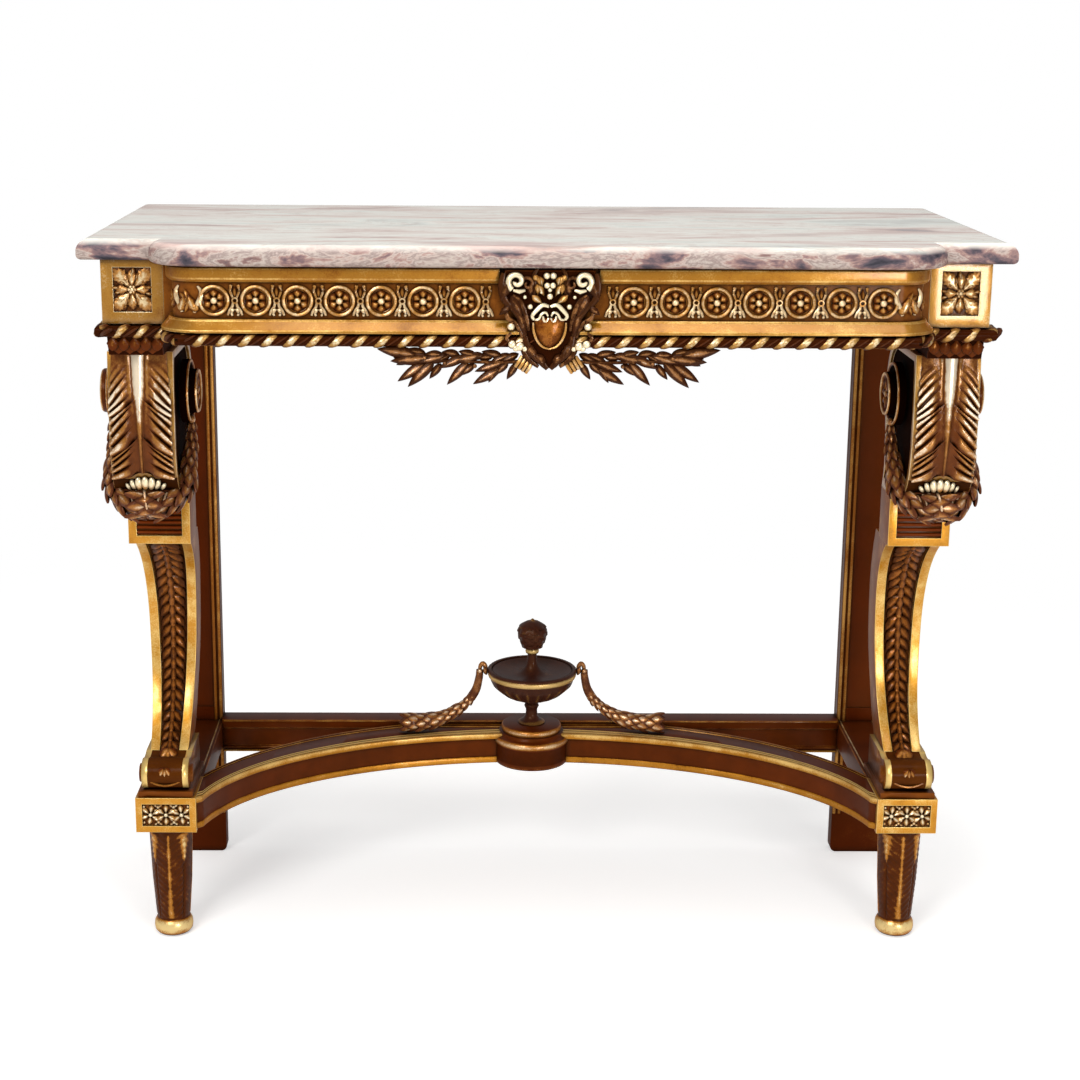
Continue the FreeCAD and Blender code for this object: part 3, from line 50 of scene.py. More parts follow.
camera = bpy.data.objects.new("viewer", bpy.data.cameras.new("viewer"))
bpy.context.scene.collection.objects.link(camera)
turn = Matrix((right, top, -ahead)).transposed().to_4x4()
camera.matrix_world = Matrix.Translation(eye) @ turn
camera.data.sensor_width, camera.data.lens = 36, 66.697
camera.data.shift_x, camera.data.shift_y = 0.0451, -0.0203
camera.data.clip_start, camera.data.clip_end = 0.05, 60
bpy.context.scene.camera = camera


# --------------------------------------------------------------------------- studio
# A pale sheet of paper on the floor of a plain studio. Big soft lamps hang in front
# and above, so that the gilding gets broad highlights and the carving keeps its shade.
def linear(code):
    """Turn an sRGB hex colour into the linear colour that a shader takes."""
    parts = [int(code[i:i + 2], 16) / 255 for i in (1, 3, 5)]
    return [c / 12.92 if c <= 0.04045 else ((c + 0.055) / 1.055) ** 2.4 for c in parts] + [1]


def put(tree, kind, feeds=None, stops=None, **settings):
    """Add a node with its settings; a feed is a value or a socket to link from."""
    node = tree.nodes.new(kind)
    for name, value in settings.items():
        setattr(node, name, value)
    for name, value in (feeds or {}).items():
        socket = node.inputs[name]
        if isinstance(value, bpy.types.NodeSocket):
            tree.links.new(value, socket)
        else:
            socket.default_value = value
    if stops:
        ramp = node.color_ramp.elements
        while len(ramp) < len(stops):
            ramp.new(0.5)
        for element, (place, code) in zip(ramp, stops):
            element.position, element.color = place, linear(code)
    return node


def new_material(name):
    """An empty node material and its tree."""
    material = bpy.data.materials.new(name)
    material.use_nodes = True
    material.node_tree.nodes.clear()
    return material, material.node_tree


# The floor takes shadow up to the first of these distances from the table's middle, in
# metres, and fades into the white wall by the second.
shadow_ends, wall_starts, floor_half = 0.8, 2.2, 14
paper_glow, room_glow = 0.42, 0.42
paper, tree = new_material("studio_paper")
ray = put(tree, "ShaderNodeLightPath")
matt = put(tree, "ShaderNodeBsdfDiffuse", {"Color": linear("#f7f5f2")})
place = put(tree, "ShaderNodeTexCoord")
reach = put(tree, "ShaderNodeVectorMath", {0: place.outputs["Object"]}, operation="LENGTH")
far = put(tree, "ShaderNodeMapRange", {"Value": reach.outputs["Value"], "From Min": shadow_ends,
                                       "From Max": wall_starts}, interpolation_type="SMOOTHERSTEP")
white = put(tree, "ShaderNodeEmission", {"Color": (1, 1, 1, 1), "Strength": 1.0})
seen = put(tree, "ShaderNodeMath", {0: ray.outputs["Is Camera Ray"], 1: far.outputs["Result"]},
           operation="MULTIPLY")
glow = put(tree, "ShaderNodeMath", {0: ray.outputs["Is Camera Ray"], 1: paper_glow},
           operation="MULTIPLY")
lift = put(tree, "ShaderNodeEmission", {"Color": (1, 1, 1, 1), "Strength": glow.outputs[0]})
bright_paper = put(tree, "ShaderNodeAddShader", {0: matt.outputs[0], 1: lift.outputs[0]})
blend = put(tree, "ShaderNodeMixShader", {0: seen.outputs[0], 1: bright_paper.outputs[0],
                                          2: white.outputs[0]})
put(tree, "ShaderNodeOutputMaterial", {"Surface": blend.outputs[0]})
floor_mesh = bpy.data.meshes.new("floor")
floor_mesh.from_pydata([(x * floor_half, y * floor_half, 0)
                        for x, y in ((-1, -1), (1, -1), (1, 1), (-1, 1))], [], [(0, 1, 2, 3)])
floor_mesh.materials.append(paper)
floor = bpy.data.objects.new("floor", floor_mesh)
bpy.context.scene.collection.objects.link(floor)

world = bpy.data.worlds.new("studio")
bpy.context.scene.world = world
world.use_nodes = True
tree = world.node_tree
tree.nodes.clear()
ray = put(tree, "ShaderNodeLightPath")
either = put(tree, "ShaderNodeMath", {0: ray.outputs["Is Camera Ray"],
                                      1: ray.outputs["Is Transmission Ray"]}, operation="MAXIMUM")
wall = put(tree, "ShaderNodeBackground", {"Color": (1, 1, 1, 1), "Strength": 1.0})
room = put(tree, "ShaderNodeBackground", {"Color": linear("#f2f4f7"), "Strength": room_glow})
blend = put(tree, "ShaderNodeMixShader", {0: either.outputs[0], 1: room.outputs[0],
                                          2: wall.outputs[0]})
put(tree, "ShaderNodeOutputWorld", {"Surface": blend.outputs[0]})

for name, at, aim, size, watts in (
        ("front_lamp", (-1.5, -2.7, 2.5), (0, 0, 0.55), 1.5, 64),
        ("right_lamp", (1.25, -2.75, 0.75), (0.1, 0, 0.6), 0.7, 25),
        ("top_lamp", (0.2, -0.5, 3.0), (0, 0, 0.9), 1.8, 44)):
    lamp = bpy.data.objects.new(name, bpy.data.lights.new(name, "AREA"))
    lamp.data.energy, lamp.data.size = watts, size
    lamp.location = at
    lamp.rotation_euler = (Vector(aim) - Vector(at)).to_track_quat("-Z", "Y").to_euler()
    bpy.context.scene.collection.objects.link(lamp)
bpy.context.scene.view_settings.view_transform = "Standard"


# --------------------------------------------------------------------- marble slab
# One sawn slab of breccia marble, 24 mm thick, with its front and side edges rubbed
# to a round nose and the whole polished. It lies loose on the frame.
def marble():
    # Calcite marble is nearly white, with rose and grey-violet beds. Its polish gives the
    # eye a clear gloss on the top; the nose is only honed, so it looks darker and duller.
    nose_begins, all_nose = 0.9325, 0.9255
    polished, honed_down = 0.16, 0.52
    material, tree = new_material("polished_breccia_marble")
    place = put(tree, "ShaderNodeTexCoord")
    # The beds run along the slab and are stretched about four to one.
    laid = put(tree, "ShaderNodeMapping", {"Vector": place.outputs["Object"],
                                           "Scale": (2.2, 8.5, 13.0),
                                           "Rotation": (0.25, 0.1, 0.06)})
    wander = put(tree, "ShaderNodeTexNoise", {"Vector": laid.outputs[0], "Scale": 1.6,
                                              "Detail": 5.0})
    bent = put(tree, "ShaderNodeMix", {"Factor": 0.34, 4: laid.outputs[0],
                                       5: wander.outputs["Color"]}, data_type="VECTOR")
    beds = put(tree, "ShaderNodeTexNoise", {"Vector": bent.outputs[1], "Scale": 2.1, "Detail": 9.0,
                                            "Roughness": 0.62, "Distortion": 0.9})
    stone = put(tree, "ShaderNodeValToRGB", {"Fac": beds.outputs["Fac"]},
                stops=((0.28, "#84797c"), (0.36, "#b5a097"), (0.42, "#d3b9ad"), (0.48, "#e6d6ca"),
                       (0.55, "#f0ebdf"), (0.62, "#e6e8dd"), (0.69, "#cfcfc6"), (0.78, "#b9b6b0")))
    # Rose and iron-red seams, 2 to 5 mm wide, between the beds.
    seam = put(tree, "ShaderNodeTexNoise", {"Vector": bent.outputs[1], "Scale": 3.7, "Detail": 6.0,
                                            "Roughness": 0.7, "Distortion": 1.8})
    near = put(tree, "ShaderNodeMath", {0: seam.outputs["Fac"], 1: 0.5}, operation="SUBTRACT")
    apart = put(tree, "ShaderNodeMath", {0: near.outputs[0]}, operation="ABSOLUTE")
    line = put(tree, "ShaderNodeMapRange", {"Value": apart.outputs[0], "From Min": 0.004,
                                            "From Max": 0.035, "To Min": 0.34, "To Max": 0.0})
    rose = put(tree, "ShaderNodeMix", {"Factor": line.outputs["Result"], 6: stone.outputs["Color"],
                                       7: linear("#b98f7f")}, data_type="RGBA")
    cloud = put(tree, "ShaderNodeTexNoise", {"Vector": laid.outputs[0], "Scale": 0.9,
                                             "Detail": 3.0})
    milky = put(tree, "ShaderNodeMapRange", {"Value": cloud.outputs["Fac"], "From Min": 0.42,
                                             "From Max": 0.62})
    body = put(tree, "ShaderNodeMix", {"Factor": milky.outputs["Result"], 6: rose.outputs[2],
                                       7: linear("#efeee3")}, data_type="RGBA")
    calm = put(tree, "ShaderNodeMix", {"Factor": 0.30, 6: rose.outputs[2], 7: body.outputs[2]},
               data_type="RGBA")
    # The nose shows sections through the beds, so its patches are darker and shorter.
    step = put(tree, "ShaderNodeSeparateXYZ", {"Vector": place.outputs["Object"]})
    below = put(tree, "ShaderNodeMapRange", {"Value": step.outputs["Z"], "From Min": nose_begins,
                                             "From Max": all_nose})
    short = put(tree, "ShaderNodeMapping", {"Vector": place.outputs["Object"],
                                            "Scale": (13, 16, 34)})
    patch = put(tree, "ShaderNodeTexNoise", {"Vector": short.outputs[0], "Scale": 1.0,
                                             "Detail": 8.0, "Roughness": 0.62, "Distortion": 0.3})
    edge = put(tree, "ShaderNodeValToRGB", {"Fac": patch.outputs["Fac"]},
               stops=((0.33, "#2b2932"), (0.40, "#4e464e"), (0.445, "#7a6162"), (0.48, "#9d7e75"),
                      (0.51, "#b9a89e"), (0.54, "#8d7b75"), (0.58, "#b9aba1"), (0.62, "#84655f"),
                      (0.67, "#5c5156"), (0.76, "#a99e97")))
    # Towards the front edge the milky ground takes on rose clouds.
    fore = put(tree, "ShaderNodeMapRange", {"Value": step.outputs["Y"], "From Min": -0.17,
                                            "From Max": -0.25})
    puff = put(tree, "ShaderNodeMapping", {"Vector": place.outputs["Object"],
                                           "Scale": (5.5, 14, 5)})
    drift = put(tree, "ShaderNodeTexNoise", {"Vector": puff.outputs[0], "Scale": 1.0, "Detail": 6.0,
                                             "Roughness": 0.6})
    pink = put(tree, "ShaderNodeMapRange", {"Value": drift.outputs["Fac"], "From Min": 0.46,
                                            "From Max": 0.64, "To Max": 0.75})
    blush = put(tree, "ShaderNodeMath", {0: fore.outputs["Result"], 1: pink.outputs["Result"]},
                operation="MULTIPLY")
    blushed = put(tree, "ShaderNodeMix", {"Factor": blush.outputs[0], 6: calm.outputs[2],
                                          7: linear("#cfaea6")}, data_type="RGBA")
    colour = put(tree, "ShaderNodeMix", {"Factor": below.outputs["Result"], 6: blushed.outputs[2],
                                         7: edge.outputs["Color"]}, data_type="RGBA")
    honed = put(tree, "ShaderNodeMapRange", {"Value": step.outputs["Z"], "From Min": 0.9328,
                                             "From Max": 0.931, "To Min": polished,
                                             "To Max": honed_down})
    dim = put(tree, "ShaderNodeMapRange", {"Value": honed.outputs["Result"], "From Min": polished,
                                           "From Max": honed_down, "To Min": 0.5, "To Max": 0.22})
    shader = put(tree, "ShaderNodeBsdfPrincipled",
                 {"Base Color": colour.outputs[2], "Roughness": honed.outputs["Result"],
                  "Specular IOR Level": dim.outputs["Result"], "IOR": 1.5})
    put(tree, "ShaderNodeOutputMaterial", {"Surface": shader.outputs[0]})
    return material


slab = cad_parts["marble_top"]
slab.data.materials.clear()
slab.data.materials.append(marble())


# ------------------------------------------------------------- rails and corner blocks
# Limewood and beech, coated with gesso, laid with bronze-toned gold leaf and glazed
# brown. The glaze stays in the hollows; the raised parts are rubbed back to the leaf.
def gilding(name, leaf="#c27f24", pale="#f6d592", glaze="#340f02", warm="#6b2c08", gilt=0.0,
            shine=0.34, patch=16.0, soft=0.24, hollow=7.0, varnish=0.32):
    """Rubbed gilding: the attribute says where the glaze is rubbed away and where light and
    shade are painted.

    Above 0.5 the leaf shows and above 0.75 it turns pale, as burnished leaf with a painted
    highlight; below -0.25 it is painted towards black as deep shade. patch is the size of
    the rubbed patches and hollow the reach of the dirt and painted shade in corners, in mm."""
    metal = 0.6
    material, tree = new_material(name)
    place = put(tree, "ShaderNodeTexCoord")
    rub_and_painted_light = put(tree, "ShaderNodeAttribute", attribute_name="rub_and_painted_light")
    # Rubbing varies in patches; the grit of the gesso is far finer than a millimetre, and
    # is drawn 1.6 mm coarse so that it shows.
    worn = put(tree, "ShaderNodeTexNoise", {"Vector": place.outputs["Object"],
                                            "Scale": 1000 / patch, "Detail": 4.0, "Roughness": 0.6})
    grit = put(tree, "ShaderNodeTexNoise", {"Vector": place.outputs["Object"], "Scale": 620.0,
                                            "Detail": 2.0})
    sway = put(tree, "ShaderNodeMapRange", {"Value": worn.outputs["Fac"], "From Min": 0.3,
                                            "From Max": 0.7, "To Min": gilt - 0.2,
                                            "To Max": gilt + 0.2})
    speck = put(tree, "ShaderNodeMapRange", {"Value": grit.outputs["Fac"], "From Min": 0.3,
                                             "From Max": 0.7, "To Min": -0.10, "To Max": 0.10})
    sum_a = put(tree, "ShaderNodeMath", {0: rub_and_painted_light.outputs["Fac"], 1: sway.outputs["Result"]},
                operation="ADD")
    sum_b = put(tree, "ShaderNodeMath", {0: sum_a.outputs[0], 1: speck.outputs["Result"]},
                operation="ADD")
    bare = put(tree, "ShaderNodeMapRange", {"Value": sum_b.outputs[0], "From Min": 0.5 - soft,
                                            "From Max": 0.5 + soft},
               interpolation_type="SMOOTHSTEP")
    # Where the tone passes 0.75 the leaf turns pale: burnished leaf with a painted highlight.
    crest_highlight = put(tree, "ShaderNodeMapRange", {"Value": sum_b.outputs[0], "From Min": 0.75,
                                             "From Max": 1.2}, interpolation_type="SMOOTHSTEP")
    shade = put(tree, "ShaderNodeMix", {"Factor": worn.outputs["Fac"], 6: linear(glaze),
                                        7: linear(warm)}, data_type="RGBA")
    gold = put(tree, "ShaderNodeMix", {"Factor": crest_highlight.outputs["Result"], 6: linear(leaf),
                                       7: linear(pale)}, data_type="RGBA")
    coat = put(tree, "ShaderNodeMix", {"Factor": bare.outputs["Result"], 6: shade.outputs[2],
                                       7: gold.outputs[2]}, data_type="RGBA")
    # Dirt and glaze collect wherever two surfaces meet, and painted shade darkens the same places.
    corner = put(tree, "ShaderNodeAmbientOcclusion", {"Distance": hollow / 1000}, samples=6)
    dirt_and_painted_shade = put(tree, "ShaderNodeMapRange", {"Value": corner.outputs["AO"], "From Min": 0.35,
                                            "From Max": 0.95})
    colour = put(tree, "ShaderNodeMix", {"Factor": dirt_and_painted_shade.outputs["Result"], 6: linear("#1b0601"),
                                         7: coat.outputs[2]}, data_type="RGBA")
    # Below -0.25 the colour is painted towards near black as deep shade, and the gloss fades there
    # too.
    painted_deep_shade = put(tree, "ShaderNodeMapRange", {"Value": rub_and_painted_light.outputs["Fac"], "From Min": -0.25,
                                            "From Max": -0.9, "To Min": 0.0, "To Max": 0.97})
    colour = put(tree, "ShaderNodeMix", {"Factor": painted_deep_shade.outputs["Result"], 6: colour.outputs[2],
                                         7: linear("#0a0201")}, data_type="RGBA")
    metallic = put(tree, "ShaderNodeMath", {0: bare.outputs["Result"], 1: metal},
                   operation="MULTIPLY")
    metal_outside_dirt_and_shade = put(tree, "ShaderNodeMath", {0: metallic.outputs[0], 1: dirt_and_painted_shade.outputs["Result"]},
                operation="MULTIPLY")
    rough = put(tree, "ShaderNodeMapRange", {"Value": bare.outputs["Result"], "To Min": 0.46,
                                             "To Max": shine})
    dull = put(tree, "ShaderNodeMath", {0: painted_deep_shade.outputs["Result"], 1: 0.45,
                                        2: rough.outputs["Result"]}, operation="MULTIPLY_ADD")
    outside_deep_shade = put(tree, "ShaderNodeMath", {0: 1.0, 1: painted_deep_shade.outputs["Result"]},
                    operation="SUBTRACT")
    waxed = put(tree, "ShaderNodeMapRange", {"Value": bare.outputs["Result"],
                                             "To Min": 0.22 * varnish, "To Max": varnish})
    gloss = put(tree, "ShaderNodeMath", {0: waxed.outputs["Result"], 1: outside_deep_shade.outputs[0]},
                operation="MULTIPLY")
    sheen = put(tree, "ShaderNodeMath", {0: outside_deep_shade.outputs[0], 1: 0.34}, operation="MULTIPLY")
    bump = put(tree, "ShaderNodeBump", {"Height": grit.outputs["Fac"], "Strength": 0.35,
                                        "Distance": 0.0003})
    shader = put(tree, "ShaderNodeBsdfPrincipled", {
        "Base Color": colour.outputs[2], "Metallic": metal_outside_dirt_and_shade.outputs[0], "Roughness": dull.outputs[0],
        "Specular IOR Level": sheen.outputs[0], "Specular Tint": linear("#dd9648"),
        "Coat Weight": gloss.outputs[0], "Coat Roughness": 0.16,
        "Normal": bump.outputs[0]})
    put(tree, "ShaderNodeOutputMaterial", {"Surface": shader.outputs[0]})
    return material


# Leaf on the flat blocks is worn to dull old gold under thick varnish, and on the mouldings
# it is a shade deeper. The beech is glazed red-brown; leaf shows only on its arrises.
flat_gilt = gilding("rubbed_leaf_on_blocks", gilt=0.26, patch=34, glaze="#5a2507", warm="#8a4a10",
                    leaf="#ad7a2b", pale="#ead2a2", shine=0.36, varnish=0.95)
moulding_gilt = gilding("rubbed_leaf_on_mouldings", gilt=0.24, patch=38, glaze="#5a2507",
                        warm="#8a4a10", leaf="#a56f1e", pale="#e6ba66", shine=0.36, varnish=0.6)
brown_glaze = gilding("brown_glaze_on_beech", gilt=-0.05, glaze="#330e01", warm="#662805",
                      leaf="#b5732a", pale="#f3d3a4", patch=40, shine=0.36, hollow=10, varnish=0.3)


def finish_piece(name, mesh, material, instead_of=()):
    """Turn a mesh outwards, shade it, give it its material and let it ride on the stand."""
    work = bmesh.new()
    work.from_mesh(mesh)
    bmesh.ops.recalc_face_normals(work, faces=work.faces)
    work.to_mesh(mesh)
    work.free()
    mesh.shade_smooth()
    mesh.set_sharp_from_angle(angle=math.radians(40))
    mesh.materials.clear()
    mesh.materials.append(material)
    made = bpy.data.objects.new(name, mesh)
    bpy.context.scene.collection.objects.link(made)
    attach(made, "stand")
    if instead_of:
        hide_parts(*instead_of)


def planed(node, material, rub_and_painted_light, edge=0.8, rub=0.45, source=None):
    """A joiner's piece: the solid's own faces with arrises eased by edge mm and rubbed.

    The third argument says, from a face's (centre, normal), how far the face is rubbed and
    what light or shade is painted on it, and rub how much more an arris."""
    weld, still_flat, sharp_from, brightest = 1e-5, math.radians(0.05), 0.55, 1.3
    work = bmesh.new()
    work.from_mesh(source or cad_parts[node].data)
    bmesh.ops.remove_doubles(work, verts=work.verts, dist=weld)
    if source is None:
        bmesh.ops.dissolve_limit(work, angle_limit=still_flat, verts=work.verts, edges=work.edges)
    tone = work.faces.layers.float.new("rub_and_painted_light")
    for face in work.faces:
        face[tone] = rub_and_painted_light(face.calc_center_median() * 1000, face.normal)
    if edge:
        sharp = [e for e in work.edges if len(e.link_faces) == 2
                 and e.calc_face_angle(0) > sharp_from]
        arris = bmesh.ops.bevel(work, geom=sharp, offset=edge / 1000, segments=2, profile=0.6,
                                affect="EDGES", clamp_overlap=True)
        for face in arris["faces"]:
            face[tone] = min(brightest, max(face[tone], 0) + rub)
    bmesh.ops.triangulate(work, faces=[f for f in work.faces if len(f.verts) > 4])
    mesh = bpy.data.meshes.new(node)
    work.to_mesh(mesh)
    work.free()
    finish_piece(node + "_finished", mesh, material, instead_of=(node,))


# A face looks along an axis where its normal passes this. The sunk panels of the corner
# blocks lie behind these two planes, in mm, and keep their glaze.
facing = 0.9
panel_front, panel_side = -179, 515.5
for side in ("left", "right"):
    planed(side + "_side_rail", brown_glaze, lambda c, n: 0.1)
    planed(side + "_corner_block", flat_gilt, lambda c, n: 0.0 if abs(n.y) > facing
           and c.y > panel_front or abs(n.x) > facing and abs(c.x) < panel_side else 0.45)
frieze_ground = gilding("glazed_frieze_ground", gilt=-0.05, glaze="#4f2005", warm="#93561c",
                        leaf="#b9782a", pale="#e2b36c", patch=7, hollow=12)
planed("front_rail", frieze_ground, lambda c, n: 0.16)
planed("back_rail", brown_glaze, lambda c, n: 0.0)
for node in ("front_upper_moulding", "side_upper_mouldings", "front_lower_moulding",
             "side_lower_mouldings"):
    planed(node, moulding_gilt, lambda c, n: 0.44 if "upper" in node else 0.5, edge=1.2, rub=0.22)


# ------------------------------------------------------------------------ twisted rope
# A ribbon-twist rope carved in one with the edge of the rail: fat strands lean to the
# right and a thin strand lies in each groove. The strands are rubbed and carry a painted
# highlight; the grooves are painted dark as shade.
def round_skin(rows, cols):
    """Faces of a grid of points that closes round, with a cap at each end."""
    grid = np.arange(rows * cols).reshape(rows, cols)
    east = np.roll(grid, -1, 1)
    quads = np.stack([grid[:-1], east[:-1], east[1:], grid[1:]], -1).reshape(-1, 4)
    return quads.tolist() + [grid[0, ::-1].tolist(), grid[-1].tolist()]


# A carved form is (points in mm, faces, rub and painted light). It grows along Z, is wide
# along Y and stands up along X, until it is placed.
def bead(radius, flat=1.0, tone=0.9, n=8, m=12):
    """A round or flattened bead."""
    a = np.linspace(0.02, math.pi - 0.02, n)[:, None]
    b = np.linspace(0, 2 * math.pi, m + 1)[None, :-1]
    p = np.stack(np.broadcast_arrays(radius * flat * np.cos(a), radius * np.sin(a) * np.cos(b),
                                     radius * np.sin(a) * np.sin(b)), -1)
    light = tone * (0.45 + 0.55 * np.clip(np.cos(a), 0, 1)) + 0 * b
    return p.reshape(-1, 3), round_skin(n, m), light.ravel()


def rod(points, radii, sides=8, tone=0.6, flat=1.0):
    """A bent rod through points, of varying radius; flat squeezes it front to back."""
    points = np.asarray(points, float)
    radii = np.broadcast_to(np.asarray(radii, float), len(points))
    run = np.gradient(points, axis=0)
    run /= np.linalg.norm(run, axis=1)[:, None]
    across = np.cross(run, (0.0, 1.0, 0.0))
    thin = np.linalg.norm(across, axis=1) < 0.15
    across[thin] = np.cross(run[thin], (1.0, 0.0, 0.0))
    across /= np.linalg.norm(across, axis=1)[:, None]
    out = np.cross(run, across)
    a = np.linspace(0, 2 * math.pi, sides + 1)[:-1]
    ring = (across[:, None] * np.cos(a)[None, :, None]
            + out[:, None] * (flat * np.sin(a))[None, :, None])
    p = points[:, None] + ring * radii[:, None, None]
    return p.reshape(-1, 3), round_skin(len(points), sides), np.full(len(points) * sides, tone)


def placed(part, at, out=(0, -1, 0), along=(0, 0, 1), size=1.0):
    """Set a form in place: its X looks out, its Z runs along."""
    z = np.asarray(along, float) / np.linalg.norm(along)
    x = np.asarray(out, float) - z * np.dot(out, z)
    x /= np.linalg.norm(x)
    p = np.asarray(part[0]) * size
    return (np.asarray(at, float) + p[:, :1] * x + p[:, 1:2] * np.cross(z, x) + p[:, 2:3] * z,
            part[1], part[2])


def eased(points, count):
    """Points at even steps along a smooth line through the given ones."""
    p = np.asarray(points, float)
    p = np.concatenate([[2 * p[0] - p[1]], p, [2 * p[-1] - p[-2]]])
    line = []
    for i in range(1, len(p) - 2):
        t = np.linspace(0, 1, 24)[:, None]
        a, b, c, d = p[i - 1:i + 3]
        line.append(0.5 * (2 * b + (c - a) * t + (2 * a - 5 * b + 4 * c - d) * t ** 2
                           + (3 * b - 3 * c + d - a) * t ** 3))
    line = np.concatenate(line)
    length = np.concatenate([[0], np.cumsum(np.linalg.norm(np.diff(line, axis=0), axis=1))])
    at = np.linspace(0, length[-1], count)
    return np.stack([np.interp(at, length, line[:, k]) for k in range(line.shape[1])], -1)


def joined(name, parts):
    """One mesh, in metres, from (points in mm, faces, rub and painted light) parts."""
    points = np.concatenate([np.asarray(p[0], float) for p in parts]) / 1000
    starts = np.cumsum([0] + [len(p[0]) for p in parts])
    faces = [tuple(int(i) + s for i in face) for p, s in zip(parts, starts) for face in p[1]]
    rub_and_painted_light = np.concatenate([np.broadcast_to(np.asarray(p[2], float), len(p[0])) for p in parts])
    mesh = bpy.data.meshes.new(name)
    mesh.from_pydata(points.tolist(), [], faces)
    attribute = mesh.attributes.new("rub_and_painted_light", "FLOAT", "POINT")
    attribute.data.foreach_set("value", rub_and_painted_light.astype(np.float32))
    return mesh


def piece(name, parts, material, instead_of=()):
    """Make one carved piece from its parts, in place."""
    finish_piece(name, joined(name, parts), material, instead_of)


# A tree that repeats one carved form along a line, as a carver sets out a run of leaves.
run_tree = bpy.data.node_groups.new("carved_run", "GeometryNodeTree")
socket_of = {}
for label, kind, start in (("Line", "NodeSocketGeometry", None), ("Form", "NodeSocketObject", None),
                           ("Count", "NodeSocketInt", 10), ("Turn", "NodeSocketFloat", 0.0),
                           ("Play", "NodeSocketFloat", 0.0), ("Seed", "NodeSocketInt", 7),
                           ("Finish", "NodeSocketMaterial", None)):
    item = run_tree.interface.new_socket(label, in_out="INPUT", socket_type=kind)
    if start is not None:
        item.default_value = start
    socket_of[label] = item.identifier
run_tree.interface.new_socket("Carving", in_out="OUTPUT", socket_type="NodeSocketGeometry")
given = put(run_tree, "NodeGroupInput").outputs
steps = put(run_tree, "GeometryNodeCurveToPoints",
            {"Curve": given["Line"], "Count": given["Count"]}, mode="COUNT")
index = put(run_tree, "GeometryNodeInputIndex")
angle = put(run_tree, "ShaderNodeMath", {0: index.outputs[0], 1: given["Turn"]},
            operation="MULTIPLY")
about = put(run_tree, "FunctionNodeAxisAngleToRotation",
            {"Axis": (0, 0, 1), "Angle": angle.outputs[0]})
spun = put(run_tree, "FunctionNodeRotateRotation",
           {"Rotation": steps.outputs["Rotation"], "Rotate By": about.outputs[0]},
           rotation_space="LOCAL")
least = put(run_tree, "ShaderNodeMath", {0: 1.0, 1: given["Play"]}, operation="SUBTRACT")
most = put(run_tree, "ShaderNodeMath", {0: 1.0, 1: given["Play"]}, operation="ADD")
# Sockets 2 and 3 and output 1 are those of the float mode.
chance = put(run_tree, "FunctionNodeRandomValue", {2: least.outputs[0], 3: most.outputs[0],
                                                   "Seed": given["Seed"]}, data_type="FLOAT")
girth = put(run_tree, "GeometryNodeInputRadius")
big = put(run_tree, "ShaderNodeMath", {0: girth.outputs[0], 1: chance.outputs[1]},
          operation="MULTIPLY")
form_in = put(run_tree, "GeometryNodeObjectInfo", {"Object": given["Form"]})
copies = put(run_tree, "GeometryNodeInstanceOnPoints",
             {"Points": steps.outputs["Points"], "Instance": form_in.outputs["Geometry"],
              "Rotation": spun.outputs[0], "Scale": big.outputs[0]})
real = put(run_tree, "GeometryNodeRealizeInstances", {"Geometry": copies.outputs[0]})
coated = put(run_tree, "GeometryNodeSetMaterial",
             {"Geometry": real.outputs[0], "Material": given["Finish"]})
put(run_tree, "NodeGroupOutput", {"Carving": coated.outputs[0]})


def strung(name, form, lines, pitch, finish, turn=0.0, play=0.0, seed=7, girths=None,
           instead_of=()):
    """Repeat a form along lines (mm) with the tree above and keep the result as a mesh."""
    pattern = bpy.data.objects.new("pattern", joined("form", form))
    bpy.context.scene.collection.objects.link(pattern)
    work = bmesh.new()
    for k, points in enumerate(lines):
        points = np.asarray(points, float)
        data = bpy.data.curves.new("line", "CURVE")
        data.dimensions, data.twist_mode = "3D", "Z_UP"
        spline = data.splines.new("POLY")
        spline.points.add(len(points) - 1)
        thick = np.ones(len(points)) if girths is None else np.asarray(girths[k], float)
        for i, p in enumerate(points):
            spline.points[i].co, spline.points[i].radius = (*(p / 1000), 1), thick[i]
        carrier = bpy.data.objects.new("line", data)
        bpy.context.scene.collection.objects.link(carrier)
        length = np.linalg.norm(np.diff(points, axis=0), axis=1).sum()
        run = carrier.modifiers.new("run", "NODES")
        run.node_group = run_tree
        for label, value in (("Form", pattern), ("Count", max(2, int(round(length / pitch)) + 1)),
                             ("Turn", float(turn)), ("Play", float(play)), ("Seed", int(seed + k)),
                             ("Finish", finish)):
            run[socket_of[label]] = value
        bpy.context.view_layer.update()
        ready = carrier.evaluated_get(bpy.context.evaluated_depsgraph_get())
        work.from_mesh(bpy.data.meshes.new_from_object(ready))
        bpy.data.objects.remove(carrier)
    made = bpy.data.meshes.new(name)
    work.to_mesh(made)
    work.free()
    bpy.data.objects.remove(pattern)
    finish_piece(name, made, finish, instead_of=instead_of)


# Old gold shows on the high points of the carving; its hollows keep a red-brown glaze. On
# the rope the leaf is paler and the grooves are painted nearly black as shade.
carved_gilt = gilding("glazed_gilding_on_carving", gilt=-0.02, patch=13, hollow=5, leaf="#a86c2a",
                      pale="#f0d3a6")
carved_rope = gilding("rubbed_rope_gilding", gilt=0.02, patch=9, leaf="#ae8140", pale="#f6e4bb",
                      glaze="#200904", warm="#5a2a12", hollow=4)
strand_tilt = math.radians(59)
lean_way = (0, -math.cos(strand_tilt), math.sin(strand_tilt))
fat, thin = bead(9.6, 0.9, 0.86, 10, 16), bead(7.5, 0.9, 0.35, 6, 10)
